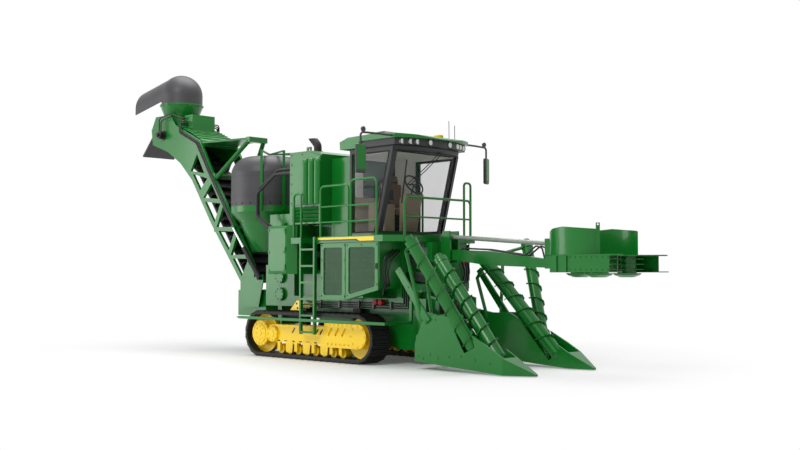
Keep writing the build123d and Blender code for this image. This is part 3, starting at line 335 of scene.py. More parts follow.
def loop_place(step, radius):
    """A place on the track loop, counted in shoes, at a distance from the wheels' line, and the way that it faces."""
    half = SHOES_RUN + SHOES_TURN
    lap = step % half
    if lap <= SHOES_RUN:
        x = SPROCKET_X + (IDLER_X - SPROCKET_X) * lap / SHOES_RUN
        way = Vector((0, 0, 1))
    else:
        turn_by = math.pi * (lap - SHOES_RUN) / SHOES_TURN
        x = IDLER_X
        way = Vector((math.sin(turn_by), 0, math.cos(turn_by)))
    if step % (2 * half) >= half:
        x = SPROCKET_X + IDLER_X - x
        way = -way
    return x + radius * way.x, WHEEL_Z + radius * way.z, way


for side, word, way in SIDES:
    bars = []
    shoe_bolts = []
    for shoe in range(2 * (SHOES_RUN + SHOES_TURN)):
        for share in (0.14, 0.32, 0.68, 0.86):
            x, z, way = loop_place(shoe + share, PAD_R + BAR_H / 2 - 2)
            bars.append((at(x, side * TRACK_Y, z), way))
        for share in (0.23, 0.77):
            x, z, way = loop_place(shoe + share, PAD_R)
            shoe_bolts += [(at(x, side * (TRACK_Y + shift), z), way) for shift in (-90, 90)]
    tread = grown(faced(f"tread_{word}", bars), bar_tree, bar_keys, {
        "Bar width": 0.016, "Bar length": TRACK_W / 1000 - 0.004, "Bar height": BAR_H / 1000, "Material": forged_steel})
    settle(f"tread_{word}", tread, None, "machine")
    bolts(f"shoe_bolts_{word}", shoe_bolts, forged_steel, "machine", 0.024, 0.01)

# Grommets of the track frames
# Black rubber plugs pressed into the lightening slots and the holes of the yellow plates.


def moulded(name, colour, pale, grain_mm, roughness):
    """Moulded plastic or rubber: a fine grain from the mould and a slow drift of shade."""
    material, tree, shader = finish_named(name, {"Roughness": roughness, "IOR": 1.5})
    where = add_node(tree, "ShaderNodeTexCoord")
    drift = add_node(tree, "ShaderNodeTexNoise", {"Scale": 4.0, "Detail": 3.0}, {"Vector": (where, "Object")})
    tint = add_node(tree, "ShaderNodeMix", {"A": linear(colour), "B": linear(pale)}, {"Factor": (drift, "Fac")},
                    data_type="RGBA")
    tree.links.new(tint.outputs["Result"], shader.inputs["Base Color"])
    grain = add_node(tree, "ShaderNodeTexNoise", {"Scale": 1000 / grain_mm}, {"Vector": (where, "Object")})
    skin = add_node(tree, "ShaderNodeBump", {"Strength": 0.15, "Distance": 0.001}, {"Height": (grain, "Fac")})
    tree.links.new(skin.outputs["Normal"], shader.inputs["Normal"])
    return material


def pill(centre, length, width, lean, y0, y1):
    """A flat plug with round ends, given by its middle, its size, its lean and its two depths."""
    section = []
    for i in range(16):
        a = 2 * math.pi * i / 16
        along = math.copysign((length - width) / 2, math.cos(a)) + width / 2 * math.cos(a)
        up = width / 2 * math.sin(a)
        section.append((centre[0] + along * math.cos(lean) - up * math.sin(lean),
                        centre[1] + along * math.sin(lean) + up * math.cos(lean)))
    return [[(x, y, z) for x, z in section] for y in (y0, y1)]


PLUG_T = 2
plugs = [((-760 + 210 * i, 320), 80, 24, 0.0, FRAME_OUT) for i in range(6)]
plugs += [((x, 525), 130, 30, 0.9, FRAME_OUT) for x in (-330, 330, 450)]
plugs += [((x, z), 44, 40, 0.0, BRACKET_Y) for x, z in ((-345, 1020), (-235, 1005), (-320, 935))]
seal_rubber = moulded("black moulded rubber", "#121213", "#1b1b1c", 5, 0.7)
for side, word, way in SIDES:
    for i, (centre, length, width, lean, face) in enumerate(plugs):
        shape = pill(centre, length, width, lean, side * face, side * (face + PLUG_T))
        settle(f"track_plug_{word}_{i}", sweep_mesh(f"track_plug_{word}_{i}", shape), seal_rubber, "machine")

# Grilles of the cooling doors and panels
# Woven wire in welded frames, coated against chaff; its dark green is painted shade that stands in for the
# dark inside seen through the mesh. It is drawn at 6 mm on a 20 mm mesh, coarser than the real one, so that the weave
# shows at this distance.
wire_tree, given, out, wire_keys = new_tree("woven wire", ["Wire radius"])
lines = add_node(wire_tree, "GeometryNodeMeshToCurve", {}, {"Mesh": (given, "Geometry")})
section = add_node(wire_tree, "GeometryNodeCurvePrimitiveCircle", {"Resolution": 5}, {"Radius": (given, "Wire radius")})
wires = add_node(wire_tree, "GeometryNodeCurveToMesh", {"Fill Caps": True}, {
    "Curve": (lines, 0), "Profile Curve": (section, "Curve")})
real = add_node(wire_tree, "GeometryNodeRealizeInstances", {}, {"Geometry": (wires, 0)})
painted = add_node(wire_tree, "GeometryNodeSetMaterial", {}, {"Geometry": (real, 0), "Material": (given, "Material")})
wire_tree.links.new(painted.outputs[0], out.inputs[0])
WIRE_PITCH = 20
WIRE_R = 0.003
# The wire's dark green is painted shade for the dark behind the mesh, not the wire's own colour.
wire_with_painted_shade = enamel("dark green wire with painted shade", "#0b3a17", "#11461f", PEEL_MM)


def wire_net(name, x0, x1, low0, low1, high, y, material, body):
    """Crossed wires between two ends, over a floor that runs from one height to another, at one depth."""
    points = []
    links = []
    for x in range(x0, x1 + 1, WIRE_PITCH):
        low = low0 + (low1 - low0) * (x - x0) / (x1 - x0)
        points += [at(x, y, low), at(x, y, high)]
        links.append((len(points) - 2, len(points) - 1))
    lean = (x1 - x0) / (low1 - low0) if low1 != low0 else 0
    for z in range(int(min(low0, low1)) + 20, high, WIRE_PITCH):
        far = x0 + (z - low0) * lean if lean and z < max(low0, low1) else x1
        points += [at(x0, y, z), at(min(far, x1), y, z)]
        links.append((len(points) - 2, len(points) - 1))
    seed = bpy.data.meshes.new(name)
    seed.from_pydata(points, links, [])
    mesh = grown(seed, wire_tree, wire_keys, {"Wire radius": WIRE_R, "Material": material})
    return settle(name, mesh, None, body)


DOOR_FACE = 1178
for side, word, way in SIDES:
    wire_net(f"panel_wire_{word}", 622, 1113, 1197, 1197, 2038, side * DOOR_FACE, wire_with_painted_shade, "machine")
    wire_net(f"door_wire_{word}", 1282, 1938, 1215, 1360, 2038, side * DOOR_FACE, wire_with_painted_shade, f"grille_door_{word}")
for side, word, way in SIDES:
    panel = [(at(x, side * 1190, z), way) for x in (565, 1170) for z in (1180, 1500, 1820, 2080)]
    door = [(at(x, side * 1190, z), way) for x, z in ((1240, 1200), (1240, 2080), (1600, 2080), (1980, 2080), (1980, 1400))]
    bolts(f"panel_bolts_{word}", panel, green_enamel, "machine")
    bolts(f"door_bolts_{word}", door, green_enamel, f"grille_door_{word}")

# Hinges and latches of the doors and the tank
# Turned steel knuckles painted with the doors, and black moulded latches with a finger recess.
black_trim = moulded("black pillar moulding", "#17171a", "#212124", 6, 0.45)
LATCH_FACE = 1190
LATCH_PROUD = 14
for side, word, way in SIDES:
    near = side * LATCH_FACE
    far = side * (LATCH_FACE + LATCH_PROUD)
    latch = []
    for shrink, depth in ((0, near), (0, side * (LATCH_FACE + 8)), (6, far), (16, far), (20, side * (LATCH_FACE + 6))):
        latch.append([(1958 + shrink, depth, 1660 + shrink), (2004 - shrink, depth, 1660 + shrink),
                      (2004 - shrink, depth, 1760 - shrink), (1958 + shrink, depth, 1760 - shrink)])
    settle(f"door_latch_{word}", sweep_mesh(f"door_latch_{word}", latch), black_trim, f"grille_door_{word}")
    knuckles = [[(-452, side * (LATCH_FACE + 6), z), (-452, side * (LATCH_FACE + 6), z + 90)] for z in (1660, 1990, 2320)]
    settle(f"tank_hinges_{word}", tube_mesh(f"tank_hinges_{word}", knuckles, 0.016), green_enamel, "machine")

# Stripe along the deck edge
# Cut vinyl film stuck to the edge of the deck: a thin yellow line over a dark one that opens
# into a plain yellow block at its front end.


def film(name, colour, scuffed):
    """Stuck-on film: an even colour, a soft gloss and faint scuffs along it."""
    material, tree, shader = finish_named(name, {"IOR": 1.48})
    where = add_node(tree, "ShaderNodeTexCoord")
    scuffs = add_node(tree, "ShaderNodeTexNoise", {"Scale": 30.0, "Detail": 6.0}, {"Vector": (where, "Object")})
    tint = add_node(tree, "ShaderNodeMix", {"A": linear(colour), "B": linear(scuffed)}, {"Factor": (scuffs, "Fac")},
                    data_type="RGBA")
    tree.links.new(tint.outputs["Result"], shader.inputs["Base Color"])
    gloss = add_node(tree, "ShaderNodeMapRange", {"To Min": 0.28, "To Max": 0.5}, {"Value": (scuffs, "Fac")})
    tree.links.new(gloss.outputs["Result"], shader.inputs["Roughness"])
    return material


FILM_T = 2
DECK_FACE = 1190
yellow_film = film("yellow vinyl film", "#ffd500", "#ffdc2e")
dark_film = film("dark green vinyl film", "#0a3514", "#0e3f1a")
line_outline = [(470, 2186), (470, 2222), (1915, 2222), (1915, 2150), (1560, 2150), (1480, 2186)]
under_outline = [(470, 2160), (470, 2183), (1475, 2183), (1552, 2147), (1915, 2147), (1915, 2138), (1530, 2138), (1465, 2160)]
for side, word, way in SIDES:
    for name, outline, finish, slot in ((f"stripe_{word}", line_outline, yellow_film, "yellow_paint"),
                                        (f"stripe_shadow_{word}", under_outline, dark_film, "green_paint")):
        sheet = [[(x, side * depth, z) for x, z in outline] for depth in (DECK_FACE, DECK_FACE + FILM_T)]
        settle(name, sweep_mesh(name, sheet), finish, "machine")

# Hoods and bin flap
# Rotationally moulded polyethylene, dark grey: a dull skin with a fine pebble from the mould.
PEBBLE_MM = 7
grey_moulding = moulded("grey rotational moulding", "#302e31", "#3d3b3e", PEBBLE_MM, 0.48)
dress(["primary_hood", "secondary_hood", "bin_flap", "mirrors"], grey_moulding)
ring_bolts = []
for i in range(20):
    turn_by = 2 * math.pi * i / 20
    ring_bolts.append((at(-5670 + 485 * math.cos(turn_by), 485 * math.sin(turn_by), 5420),
                       Vector((math.cos(turn_by), math.sin(turn_by), 0))))
bolts("secondary_ring_bolts", ring_bolts, green_enamel, "elevator")
hood_bolts = []
for i in range(24):
    turn_by = 2 * math.pi * (i + 0.5) / 24
    hood_bolts.append((at(-2430 + 790 * math.cos(turn_by), 790 * math.sin(turn_by), 3000),
                       Vector((math.cos(turn_by), math.sin(turn_by), 0))))
bolts("primary_hood_bolts", hood_bolts, forged_steel, "primary_hood", 0.02, 0.006)

# Hoses
# Wire-braided rubber hose, dull black with a low moulded texture, crimped to its end fittings
# and held down all the way along.
braided_rubber = moulded("black hydraulic rubber", "#1a1a1b", "#1e1e1f", 6, 0.62)
dress(["extractor_hoses", "topper_hoses"], braided_rubber)

# Hydraulic pipes and their clamps
# Drawn steel pipe, bent cold and sprayed black, run along the rails, the front of the
# cooler housing and the elevator chords, and held to the rails by clamps of the same finish.
black_enamel = enamel("sprayed black enamel", "#0b0b0c", "#151516", PEEL_MM)


def box_mesh(name, boxes):
    """One mesh of several upright boxes, each given by its ends along X, Y and Z in the drawing's millimetres."""
    points = []
    faces = []
    for (x0, x1), (y0, y1), (z0, z1) in boxes:
        first = len(points)
        points += [at(x, y, z) for x in (x0, x1) for y in (y0, y1) for z in (z0, z1)]
        for face in ((0, 1, 3, 2), (4, 6, 7, 5), (0, 4, 5, 1), (2, 3, 7, 6), (0, 2, 6, 4), (1, 5, 7, 3)):
            faces.append([first + i for i in face])
    mesh = bpy.data.meshes.new(name)
    mesh.from_pydata(points, [], faces)
    return mesh


def bent(route, bend):
    """A route with each corner rounded over a length of the bend, both in millimetres."""
    points = [Vector(place) for place in route]
    smooth = [points[0]]
    for before, corner, after in zip(points, points[1:], points[2:]):
        back = (before - corner).normalized() * bend
        ahead = (after - corner).normalized() * bend
        for step in range(7):
            t = step / 6
            smooth.append(corner + back * (1 - t) ** 2 + ahead * t ** 2)
    smooth.append(points[-1])
    return [tuple(point) for point in smooth]


PIPE_R = 14
for side, word, way in SIDES:
    rail_pipes = []
    for i in range(3):
        y = side * (RAIL_FACE + PIPE_R)
        z = 975 + 40 * i
        rail_pipes.append(bent([(-380 - 60 * i, side * RAIL_FACE, z + 60), (-380 - 60 * i, y, z), (2190 - 50 * i, y, z),
                                (2190 - 50 * i, y, z + 260)], 20))
    settle(f"rail_pipes_{word}", tube_mesh(f"rail_pipes_{word}", rail_pipes, PIPE_R / 1000), black_enamel, "machine")
    blocks = []
    for x in (-100, 420, 940, 1320, 1760):
        blocks.append(((x, x + 40), (side * RAIL_FACE, side * (RAIL_FACE + 34)), (950, 1085)))
    settle(f"rail_clamps_{word}", box_mesh(f"rail_clamps_{word}", blocks), black_enamel, "machine", 0.004)
    front_pipes = []
    for i in range(3):
        reach = 75 * i
        front_pipes.append(bent([(2000, side * (660 + reach), 1990), (2060, side * (700 + reach), 1960),
                                 (2075, side * (930 + reach), 1800 + reach / 2), (2075, side * (1010 + reach * 0.8), 1600),
                                 (2065, side * (960 + reach * 0.8), 1420), (2000, side * (900 + reach), 1370 - reach)], 60))
    settle(f"front_pipes_{word}", tube_mesh(f"front_pipes_{word}", front_pipes, 0.016), black_enamel, "machine")

# Elevator cover, pipes and head drive
# A ribbed cover sheet lies over the upper run, the same black pipe runs up each elevator
# chord to the valve box, and a flanged hydraulic motor drives the head shaft on both sides.
CHORD_FACE = 500


def turned_mesh(name, centre, axis, rings):
    """A turned piece about an axis from a centre in the drawing's millimetres, from its radii and heights."""
    centre = Vector(centre)
    axis = Vector(axis).normalized()
    first = axis.orthogonal().normalized()
    second = axis.cross(first)
    sections = []
    for radius, height in rings:
        middle = centre + axis * height
        sections.append([tuple(middle + (first * math.cos(a) + second * math.sin(a)) * radius) for a in circle])
    return sweep_mesh(name, sections)


circle = [2 * math.pi * i / 24 for i in range(24)]
cover_line = [(-5140, 4885), (-4900, 4790), (-4700, 4715), (-4500, 4625), (-4235, 4490), (-4120, 4330)]
cover = []
for x, z in cover_line:
    cover.append([(x, -470, z), (x, 470, z), (x, 470, z + 8), (x, -470, z + 8)])
settle("elevator_cover", sweep_mesh("elevator_cover", cover), green_enamel, "elevator", 0.003)
cover_bars = []
for (x0, z0), (x1, z1) in zip(cover_line[1:], cover_line[2:]):
    for share in (0.25, 0.75):
        x = x0 + (x1 - x0) * share
        z = z0 + (z1 - z0) * share + 14
        cover_bars.append([(x, -465, z), (x, 465, z)])
settle("elevator_cover_ribs", tube_mesh("elevator_cover_ribs", cover_bars, 0.012), green_enamel, "elevator")
motor_rings = ((110, 0), (110, 22), (84, 22), (84, 130), (70, 150), (48, 150), (48, 190), (40, 198))
for side, word, way in SIDES:
    chord_pipes = []
    for i in range(3):
        y = side * (CHORD_FACE + PIPE_R)
        drop = 32 * i
        chord_pipes.append(bent([(-2340 - drop, y, 1750), (-3720 - drop, y, 3610), (-4275 - drop, y, 4445 - drop / 2),
                                 (-4930 - drop, y, 4735 - drop / 2), (-4930 - drop, y, 4960 - drop),
                                 (-4930 - drop, side * 300, 4960 - drop)], 70))
    settle(f"chord_pipes_{word}", tube_mesh(f"chord_pipes_{word}", chord_pipes, PIPE_R / 1000), black_enamel, "elevator")
    motor = turned_mesh(f"head_motor_{word}", (-5640, side * CHORD_FACE, 4700), (0, side, 0), motor_rings)
    settle(f"head_motor_{word}", motor, black_enamel, "elevator", 0.004)
    motor_pipes = []
    for i in range(2):
        x = -5600 - 70 * i
        motor_pipes.append(bent([(x, side * 600, 4780), (x, side * 600, 5020 + 60 * i), (-5300, side * 560, 5090 + 60 * i),
                                 (-5060, side * 400, 5050), (-5060, side * 300, 5050 - 60 * i)], 80))
    settle(f"motor_pipes_{word}", tube_mesh(f"motor_pipes_{word}", motor_pipes, PIPE_R / 1000), black_enamel, "elevator")

# Cab glass, pillars and seals
# Toughened sheet glass, held in black rubber channels between pillars faced with black
# moulded trim.


def smeared(name, values, scale, clean, dull):
    """Glass or bright metal: a mirror gloss that a thin smear of dust or oil dulls in patches."""
    material, tree, shader = finish_named(name, values)
    where = add_node(tree, "ShaderNodeTexCoord")
    smear = add_node(tree, "ShaderNodeTexNoise", {"Scale": scale, "Detail": 4.0}, {"Vector": (where, "Object")})
    gloss = add_node(tree, "ShaderNodeMapRange", {"To Min": clean, "To Max": dull}, {"Value": (smear, "Fac")})
    tree.links.new(gloss.outputs["Result"], shader.inputs["Roughness"])
    return material


tint = {"Base Color": linear("#3a3f4d"), "IOR": 1.5, "Alpha": 0.13}
toughened_glass = smeared("toughened cab glass", tint, 3.0, 0.02, 0.1)
dress(["cab_glass", "cab_door_glass"], toughened_glass)
dress(["cab_door"], black_trim)
SILL_Z = 2315
REAR_WALL = 1030
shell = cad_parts["cab_shell"].data
shell.materials.append(black_trim)
for face in shell.polygons:
    if face.center.z > SILL_Z / 1000 and face.center.x > at(REAR_WALL, 0, 0).x:
        face.material_index = 1
HEADER_Z = 3730
WINDOW_TOP = 3720
CAB_TOP = 3810
CAB_REAR = 945
CAB_HALF = 850
PILLAR = 85
BULGE = 140
FRONT_LEAN = (2065 - 1655) / (CAB_TOP - 2240)


def front_x(z):
    """The front line of the cab's side at a height."""
    return 1655 + FRONT_LEAN * (z - 2240)


def screen_x(y, z, stand):
    """The bowed front of the cab at a height and across it, plus a stand-off."""
    sweep = (CAB_HALF ** 2 + BULGE ** 2) / (2 * BULGE)
    return front_x(z) + BULGE - (sweep - math.sqrt(sweep ** 2 - y ** 2)) + stand


SEAL_R = 0.012
TRIM_T = 6
window = [(CAB_REAR + 65, SILL_Z), (CAB_REAR + 65, WINDOW_TOP), (front_x(WINDOW_TOP) - PILLAR, WINDOW_TOP),
          (front_x(SILL_Z) - PILLAR, SILL_Z)]
frame_out = [(CAB_REAR + 5, SILL_Z - 20), (CAB_REAR + 5, CAB_TOP - 5), (front_x(CAB_TOP) - 5, CAB_TOP - 5),
             (front_x(SILL_Z) - 10, SILL_Z - 20)]
loops = []
for (x0, z0), (x1, z1) in zip(frame_out, window):
    loops.append([(x0, -CAB_HALF, z0), (x0, -CAB_HALF - TRIM_T, z0), (x1, -CAB_HALF - TRIM_T, z1), (x1, -CAB_HALF, z1)])
settle("side_window_trim", sweep_mesh("side_window_trim", loops, True), black_trim, "machine", 0.002)
side_seal = [(x, -CAB_HALF - TRIM_T, z) for x, z in window]
settle("side_window_seal", tube_mesh("side_window_seal", [side_seal], SEAL_R, True), seal_rubber, "machine")
across = [-840 + 60 * i for i in range(29)]
header = []
for y in across:
    low, high = screen_x(y, HEADER_Z, 0), screen_x(y, CAB_TOP - 5, 0)
    header.append([(low, y, HEADER_Z), (high, y, CAB_TOP - 5), (high + TRIM_T, y, CAB_TOP - 5), (low + TRIM_T, y, HEADER_Z)])
settle("windscreen_header_trim", sweep_mesh("windscreen_header_trim", header), black_trim, "machine")
post_zs = [SILL_Z + 235 * i for i in range(7)]
for side, word, way in SIDES:
    post = []
    for z in post_zs:
        section = []
        for y, stand in ((850, 4), (775, 4), (775, 12), (850, 12)):
            section.append((screen_x(y, z, stand), side * y, z))
        post.append(section)
    settle(f"front_post_trim_{word}", sweep_mesh(f"front_post_trim_{word}", post), black_trim, "machine")
low_edge = [(screen_x(y, SILL_Z + 4, 5), y, SILL_Z + 4) for y in across]
high_edge = [(screen_x(y, HEADER_Z - 4, 5), y, HEADER_Z - 4) for y in across]
settle("windscreen_seal", tube_mesh("windscreen_seal", [low_edge + high_edge[::-1]], SEAL_R, True), seal_rubber, "machine")
DOOR_LOW = 2360
DOOR_TOP = 3670
pane = [(1090, 842, DOOR_LOW), (1090, 842, DOOR_TOP), (front_x(DOOR_TOP) - 140, 842, DOOR_TOP),
        (front_x(DOOR_LOW) - 140, 842, DOOR_LOW)]
settle("door_glass_seal", tube_mesh("door_glass_seal", [pane], SEAL_R, True), seal_rubber, "cab_door")

# Windscreen wiper
# Two pressed steel arms from a spindle in the header and a long rubber blade, all black.
spindle = (180, 3745)
arms = []
for shift in (0, 75):
    ends = [(spindle[0] + shift, spindle[1]), (-160 + shift, 3430), (-500 + shift, 3120)]
    arms.append([(screen_x(y, z, 30), y, z) for y, z in ends])
blade_ends = [(-560, 3570), (-545, 3380), (-530, 3190), (-515, 3000), (-500, 2820)]
blade = [(screen_x(y, z, 14), y, z) for y, z in blade_ends]
settle("wiper_arms", tube_mesh("wiper_arms", arms, 0.008), seal_rubber, "machine")
settle("wiper_blade", tube_mesh("wiper_blade", [blade], 0.013), seal_rubber, "machine")

# Roof band, lamps and receiver
# Lamp bowls behind fluted clear lenses in a black moulded band, and a yellow receiver dome on the cap.
dress(["roof_visor"], black_trim)
lamp_lens, tree, shader = finish_named("clear lamp lens", {
    "Base Color": linear("#d4d6d2"), "Roughness": 0.08, "IOR": 1.49, "Coat Weight": 0.5, "Metallic": 0.4})
where = add_node(tree, "ShaderNodeTexCoord")
FLUTE_MM = 14
flute = add_node(tree, "ShaderNodeTexWave", {"Scale": 1000 / FLUTE_MM / 20}, {"Vector": (where, "Object")}, bands_direction="Y")
ribs = add_node(tree, "ShaderNodeBump", {"Strength": 0.5, "Distance": 0.002}, {"Height": (flute, "Fac")})
tree.links.new(ribs.outputs["Normal"], shader.inputs["Normal"])
dress(["roof_lamps"], lamp_lens)
lamp_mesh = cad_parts["roof_lamps"].data
lamp_mesh.materials.append(yellow_enamel)
CAP_UNDER = 3.925
for face in lamp_mesh.polygons:
    if face.center.z > CAP_UNDER:
        face.material_index = 1
LAMP_Z = 3868
rims = []
for y in (-800, -650, -525, -255, 255, 525, 650, 800):
    front = 2390 - 240 * (y / 920) ** 2 + 10
    rims.append([(front, y + 52 * math.cos(a), LAMP_Z + 52 * math.sin(a)) for a in circle])
settle("lamp_rims", tube_mesh("lamp_rims", rims, 0.007, True), grey_moulding, "machine")

# Aerials, roof vent and mirrors
# Thin black whips on the left of the roof, a low moulded vent beside its crown, and mirror
# shells with a painted back and silvered glass in front.
whips = [[(2200, 430, 3970), (2196, 431, 4340)], [(2200, 585, 3965), (2196, 586, 4270)]]
settle("aerials", tube_mesh("aerials", whips, 0.006), seal_rubber, "machine")
vent_rows = [(1360, 4012, 4040), (1400, 4012, 4088), (1720, 4016, 4092), (1800, 4020, 4050)]
vent = []
for x, low, high in vent_rows:
    vent.append([(x, -780, low), (x, -360, low), (x, -390, high), (x, -750, high)])
settle("roof_vent", sweep_mesh("roof_vent", vent), black_trim, "machine", 0.006)
silver = {"Base Color": linear("#d8dcdd"), "Metallic": 1.0}
silvered_glass = smeared("silvered mirror glass", silver, 12.0, 0.01, 0.08)
MIRROR_X = 2060
MIRROR_Y = 1640
MIRROR_TURN = math.radians(-20)


def mirror_panel(name, side, depths, half, z0, z1, material):
    """A panel on a mirror shell, between two depths from its middle, turned with the shell."""
    sections = []
    for depth in depths:
        section = []
        for y, z in ((-half, z0), (half, z0), (half, z1), (-half, z1)):
            x = MIRROR_X + depth * math.cos(MIRROR_TURN) - y * math.sin(MIRROR_TURN)
            across_y = -MIRROR_Y + depth * math.sin(MIRROR_TURN) + y * math.cos(MIRROR_TURN)
            section.append((x, -side * across_y, z))
        sections.append(section)
    return settle(name, sweep_mesh(name, sections), material, "machine", 0.002)


for side, word, way in SIDES:
    mirror_panel(f"mirror_glass_{word}", side, (-33, -29), 72, 3298, 3732, silvered_glass)
    mirror_panel(f"mirror_back_{word}", side, (29, 36), 76, 3330, 3742, green_enamel)

# Operator's seat
# Foam cushions in woven brown cloth on a sprung base with a pleated rubber skirt. Each
# cushion is blown up as cloth, drawn in along its sewn channels and flat where it rests.
seat_cloth, tree, shader = finish_named("woven brown seat cloth", {"Roughness": 0.9, "IOR": 1.45, "Sheen Weight": 0.3})
where = add_node(tree, "ShaderNodeTexCoord")
THREAD_MM = 6
weave = add_node(tree, "ShaderNodeTexChecker", {
    "Scale": 1000 / THREAD_MM, "Color1": linear("#96795a"), "Color2": linear("#7f6449")}, {"Vector": (where, "Object")})
tree.links.new(weave.outputs["Color"], shader.inputs["Base Color"])
threads = add_node(tree, "ShaderNodeBump", {"Strength": 0.3, "Distance": 0.001}, {"Height": (weave, "Fac")})
tree.links.new(threads.outputs["Normal"], shader.inputs["Normal"])
VOXEL = 0.006
SWELL_CAP = 0.012
CHANNEL_DEEP = 0.01


def baked(thing):
    """The evaluated mesh of an object, which is then deleted."""
    bpy.context.view_layer.update()
    mesh = bpy.data.meshes.new_from_object(thing.evaluated_get(bpy.context.evaluated_depsgraph_get()))
    bpy.data.objects.remove(thing)
    return mesh


def swollen(mesh, rest_axis, rest_at):
    """A closed mesh blown up as cloth, held still where it rests, with each point's movement capped."""
    cloth = bpy.data.objects.new("cloth", mesh)
    bpy.context.collection.objects.link(cloth)
    held = cloth.vertex_groups.new(name="rest")
    held.add([v.index for v in mesh.vertices if abs(v.co[rest_axis] - rest_at) < VOXEL], 1.0, "REPLACE")
    blow = cloth.modifiers.new("blow", "CLOTH")
    blow.settings.use_pressure = True
    blow.settings.uniform_pressure_force = 4
    blow.settings.effector_weights.gravity = 0
    blow.settings.vertex_group_mass = "rest"
    blow.point_cache.frame_start = 1
    blow.point_cache.frame_end = 20
    start = [v.co.copy() for v in mesh.vertices]
    for step in range(1, 21):
        bpy.context.scene.frame_set(step)
    full = baked(cloth)
    bpy.context.scene.frame_set(1)
    for vertex, first in zip(full.vertices, start):
        move = vertex.co - first
        if move.length > SWELL_CAP:
            vertex.co = first + move.normalized() * SWELL_CAP
    return full


def cushion(name, ends, crown, face, rest_axis, channels):
    """A stuffed pad in a box: crowned, swollen, flat where it rests, with channels sewn down its face."""
    low = at(ends[0][0], ends[1][0], ends[2][0])
    high = at(ends[0][1], ends[1][1], ends[2][1])
    middle = (low + high) / 2
    half = (high - low) / 2
    pad = bpy.data.objects.new(name, box_mesh(name, [ends]))
    bpy.context.collection.objects.link(pad)
    cuts = pad.modifiers.new("cuts", "SUBSURF")
    cuts.subdivision_type = "SIMPLE"
    cuts.levels = cuts.render_levels = 4
    shaped = baked(pad)
    for vertex in shaped.vertices:
        share = [(vertex.co[i] - middle[i]) / half[i] for i in range(3)]
        for axis in range(3):
            others = [share[i] for i in range(3) if i != axis]
            if abs(share[axis]) > 0.99 and not (axis == rest_axis and share[axis] < 0):
                drop = crown * (1 - (1 - others[0] ** 2) * (1 - others[1] ** 2))
                vertex.co[axis] -= math.copysign(drop, share[axis])
    pad = bpy.data.objects.new(name, shaped)
    bpy.context.collection.objects.link(pad)
    grid = pad.modifiers.new("grid", "REMESH")
    grid.mode = "VOXEL"
    grid.voxel_size = VOXEL
    shaped = swollen(baked(pad), rest_axis, low[rest_axis])
    for vertex in shaped.vertices:
        share_y = (vertex.co.y - middle.y) / half.y
        if vertex.co[face] > middle[face]:
            for line in channels:
                vertex.co[face] -= CHANNEL_DEEP * math.exp(-((share_y - line) / 0.045) ** 2)
    for polygon in shaped.polygons:
        polygon.use_smooth = True
    done = settle(name, shaped, seat_cloth, "machine")
    soft = done.modifiers.new("soft", "SUBSURF")
    soft.levels = soft.render_levels = 1
    return done


cushion("seat_base_cushion", ((1190, 1555), (-252, 252), (2640, 2765)), 0.022, 2, 2, (-0.6, 0.6))
cushion("seat_back_cushion", ((1110, 1212), (-245, 245), (2790, 3250)), 0.02, 0, 0, (-0.6, 0.6))
cushion("seat_head_cushion", ((1110, 1195), (-135, 135), (3268, 3385)), 0.016, 0, 0, ())
pleats = []
for i in range(6):
    grow = 12 if i % 2 else 0
    z = 2300 + 50 * i
    for edge, height in ((0, z), (12, z + 25), (0, z + 50)):
        reach = edge + grow
        pleats.append([(1290 - reach, -145 - reach, height), (1510 + reach, -145 - reach, height),
                       (1510 + reach, 145 + reach, height), (1290 - reach, 145 + reach, height)])
skirt = settle("seat_skirt", sweep_mesh("seat_skirt", pleats), seal_rubber, "machine")
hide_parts("operator_seat")
pan = [((1190, 1550), (-245, 245), (2601, 2640)), ((1085, 1110), (-215, 215), (2640, 3330)),
       ((1110, 1190), (-230, 230), (2640, 2660))]
settle("seat_pan", box_mesh("seat_pan", pan), black_trim, "machine", 0.006)

# Console, dash, steering wheel and screens
# Beige moulded plastic with a fine grain, a black wheel on a raked column, a joystick and screens.
cab_moulding = moulded("beige cab moulding", "#a08c70", "#b09c80", 4, 0.6)
dress(["cab_console"], cab_moulding)
lining = [((1012, 1030), (-780, 780), (2312, 2960))]
settle("cab_rear_lining", box_mesh("cab_rear_lining", lining), cab_moulding, "machine", 0.008)
pale_lining = moulded("pale grey headlining", "#dedbd3", "#e8e5dd", 8, 0.85)
posts = [((1012, 1034), (-780, -600), (2955, 3700)), ((1012, 1034), (230, 780), (2955, 3700)),
         ((1012, 1034), (-600, 230), (3640, 3700)), ((1012, 1990), (-780, 780), (3700, 3712))]
settle("cab_headlining", box_mesh("cab_headlining", posts), pale_lining, "machine", 0.004)
hub = Vector((1730, 0, 3185))
WHEEL_R = 200
rim = []
for a in circle:
    rim.append((hub.x - WHEEL_R * math.sin(a) * 0.55, WHEEL_R * math.cos(a), hub.z + WHEEL_R * math.sin(a) * 0.835))
settle("steering_rim", tube_mesh("steering_rim", [rim], 0.015, True), black_trim, "machine")
spokes = [[tuple(hub), rim[i]] for i in (0, 12, 18)]
spokes.append([(1665, 0, 3005), tuple(hub)])
settle("steering_column", tube_mesh("steering_column", spokes, 0.013), black_trim, "machine")
screens = [((1500, 1535), (-560, -320), (2900, 3080)), ((1510, 1530), (-460, -420), (2815, 2905)),
           ((1340, 1370), (-450, -420), (2815, 2950)), ((1335, 1375), (-460, -410), (2950, 3010))]
settle("cab_screens", box_mesh("cab_screens", screens), black_trim, "machine", 0.008)

# Lift cylinder rods
# Ground and hard-chromed steel bar, pinned to the elevator and sliding in the barrels, with
# a thin film of oil on it.
chrome = {"Base Color": linear("#d6d6d6"), "Metallic": 1.0}
chromed_steel = smeared("hard chromed steel", chrome, 14.0, 0.08, 0.22)
dress(["lift_rods"], chromed_steel)
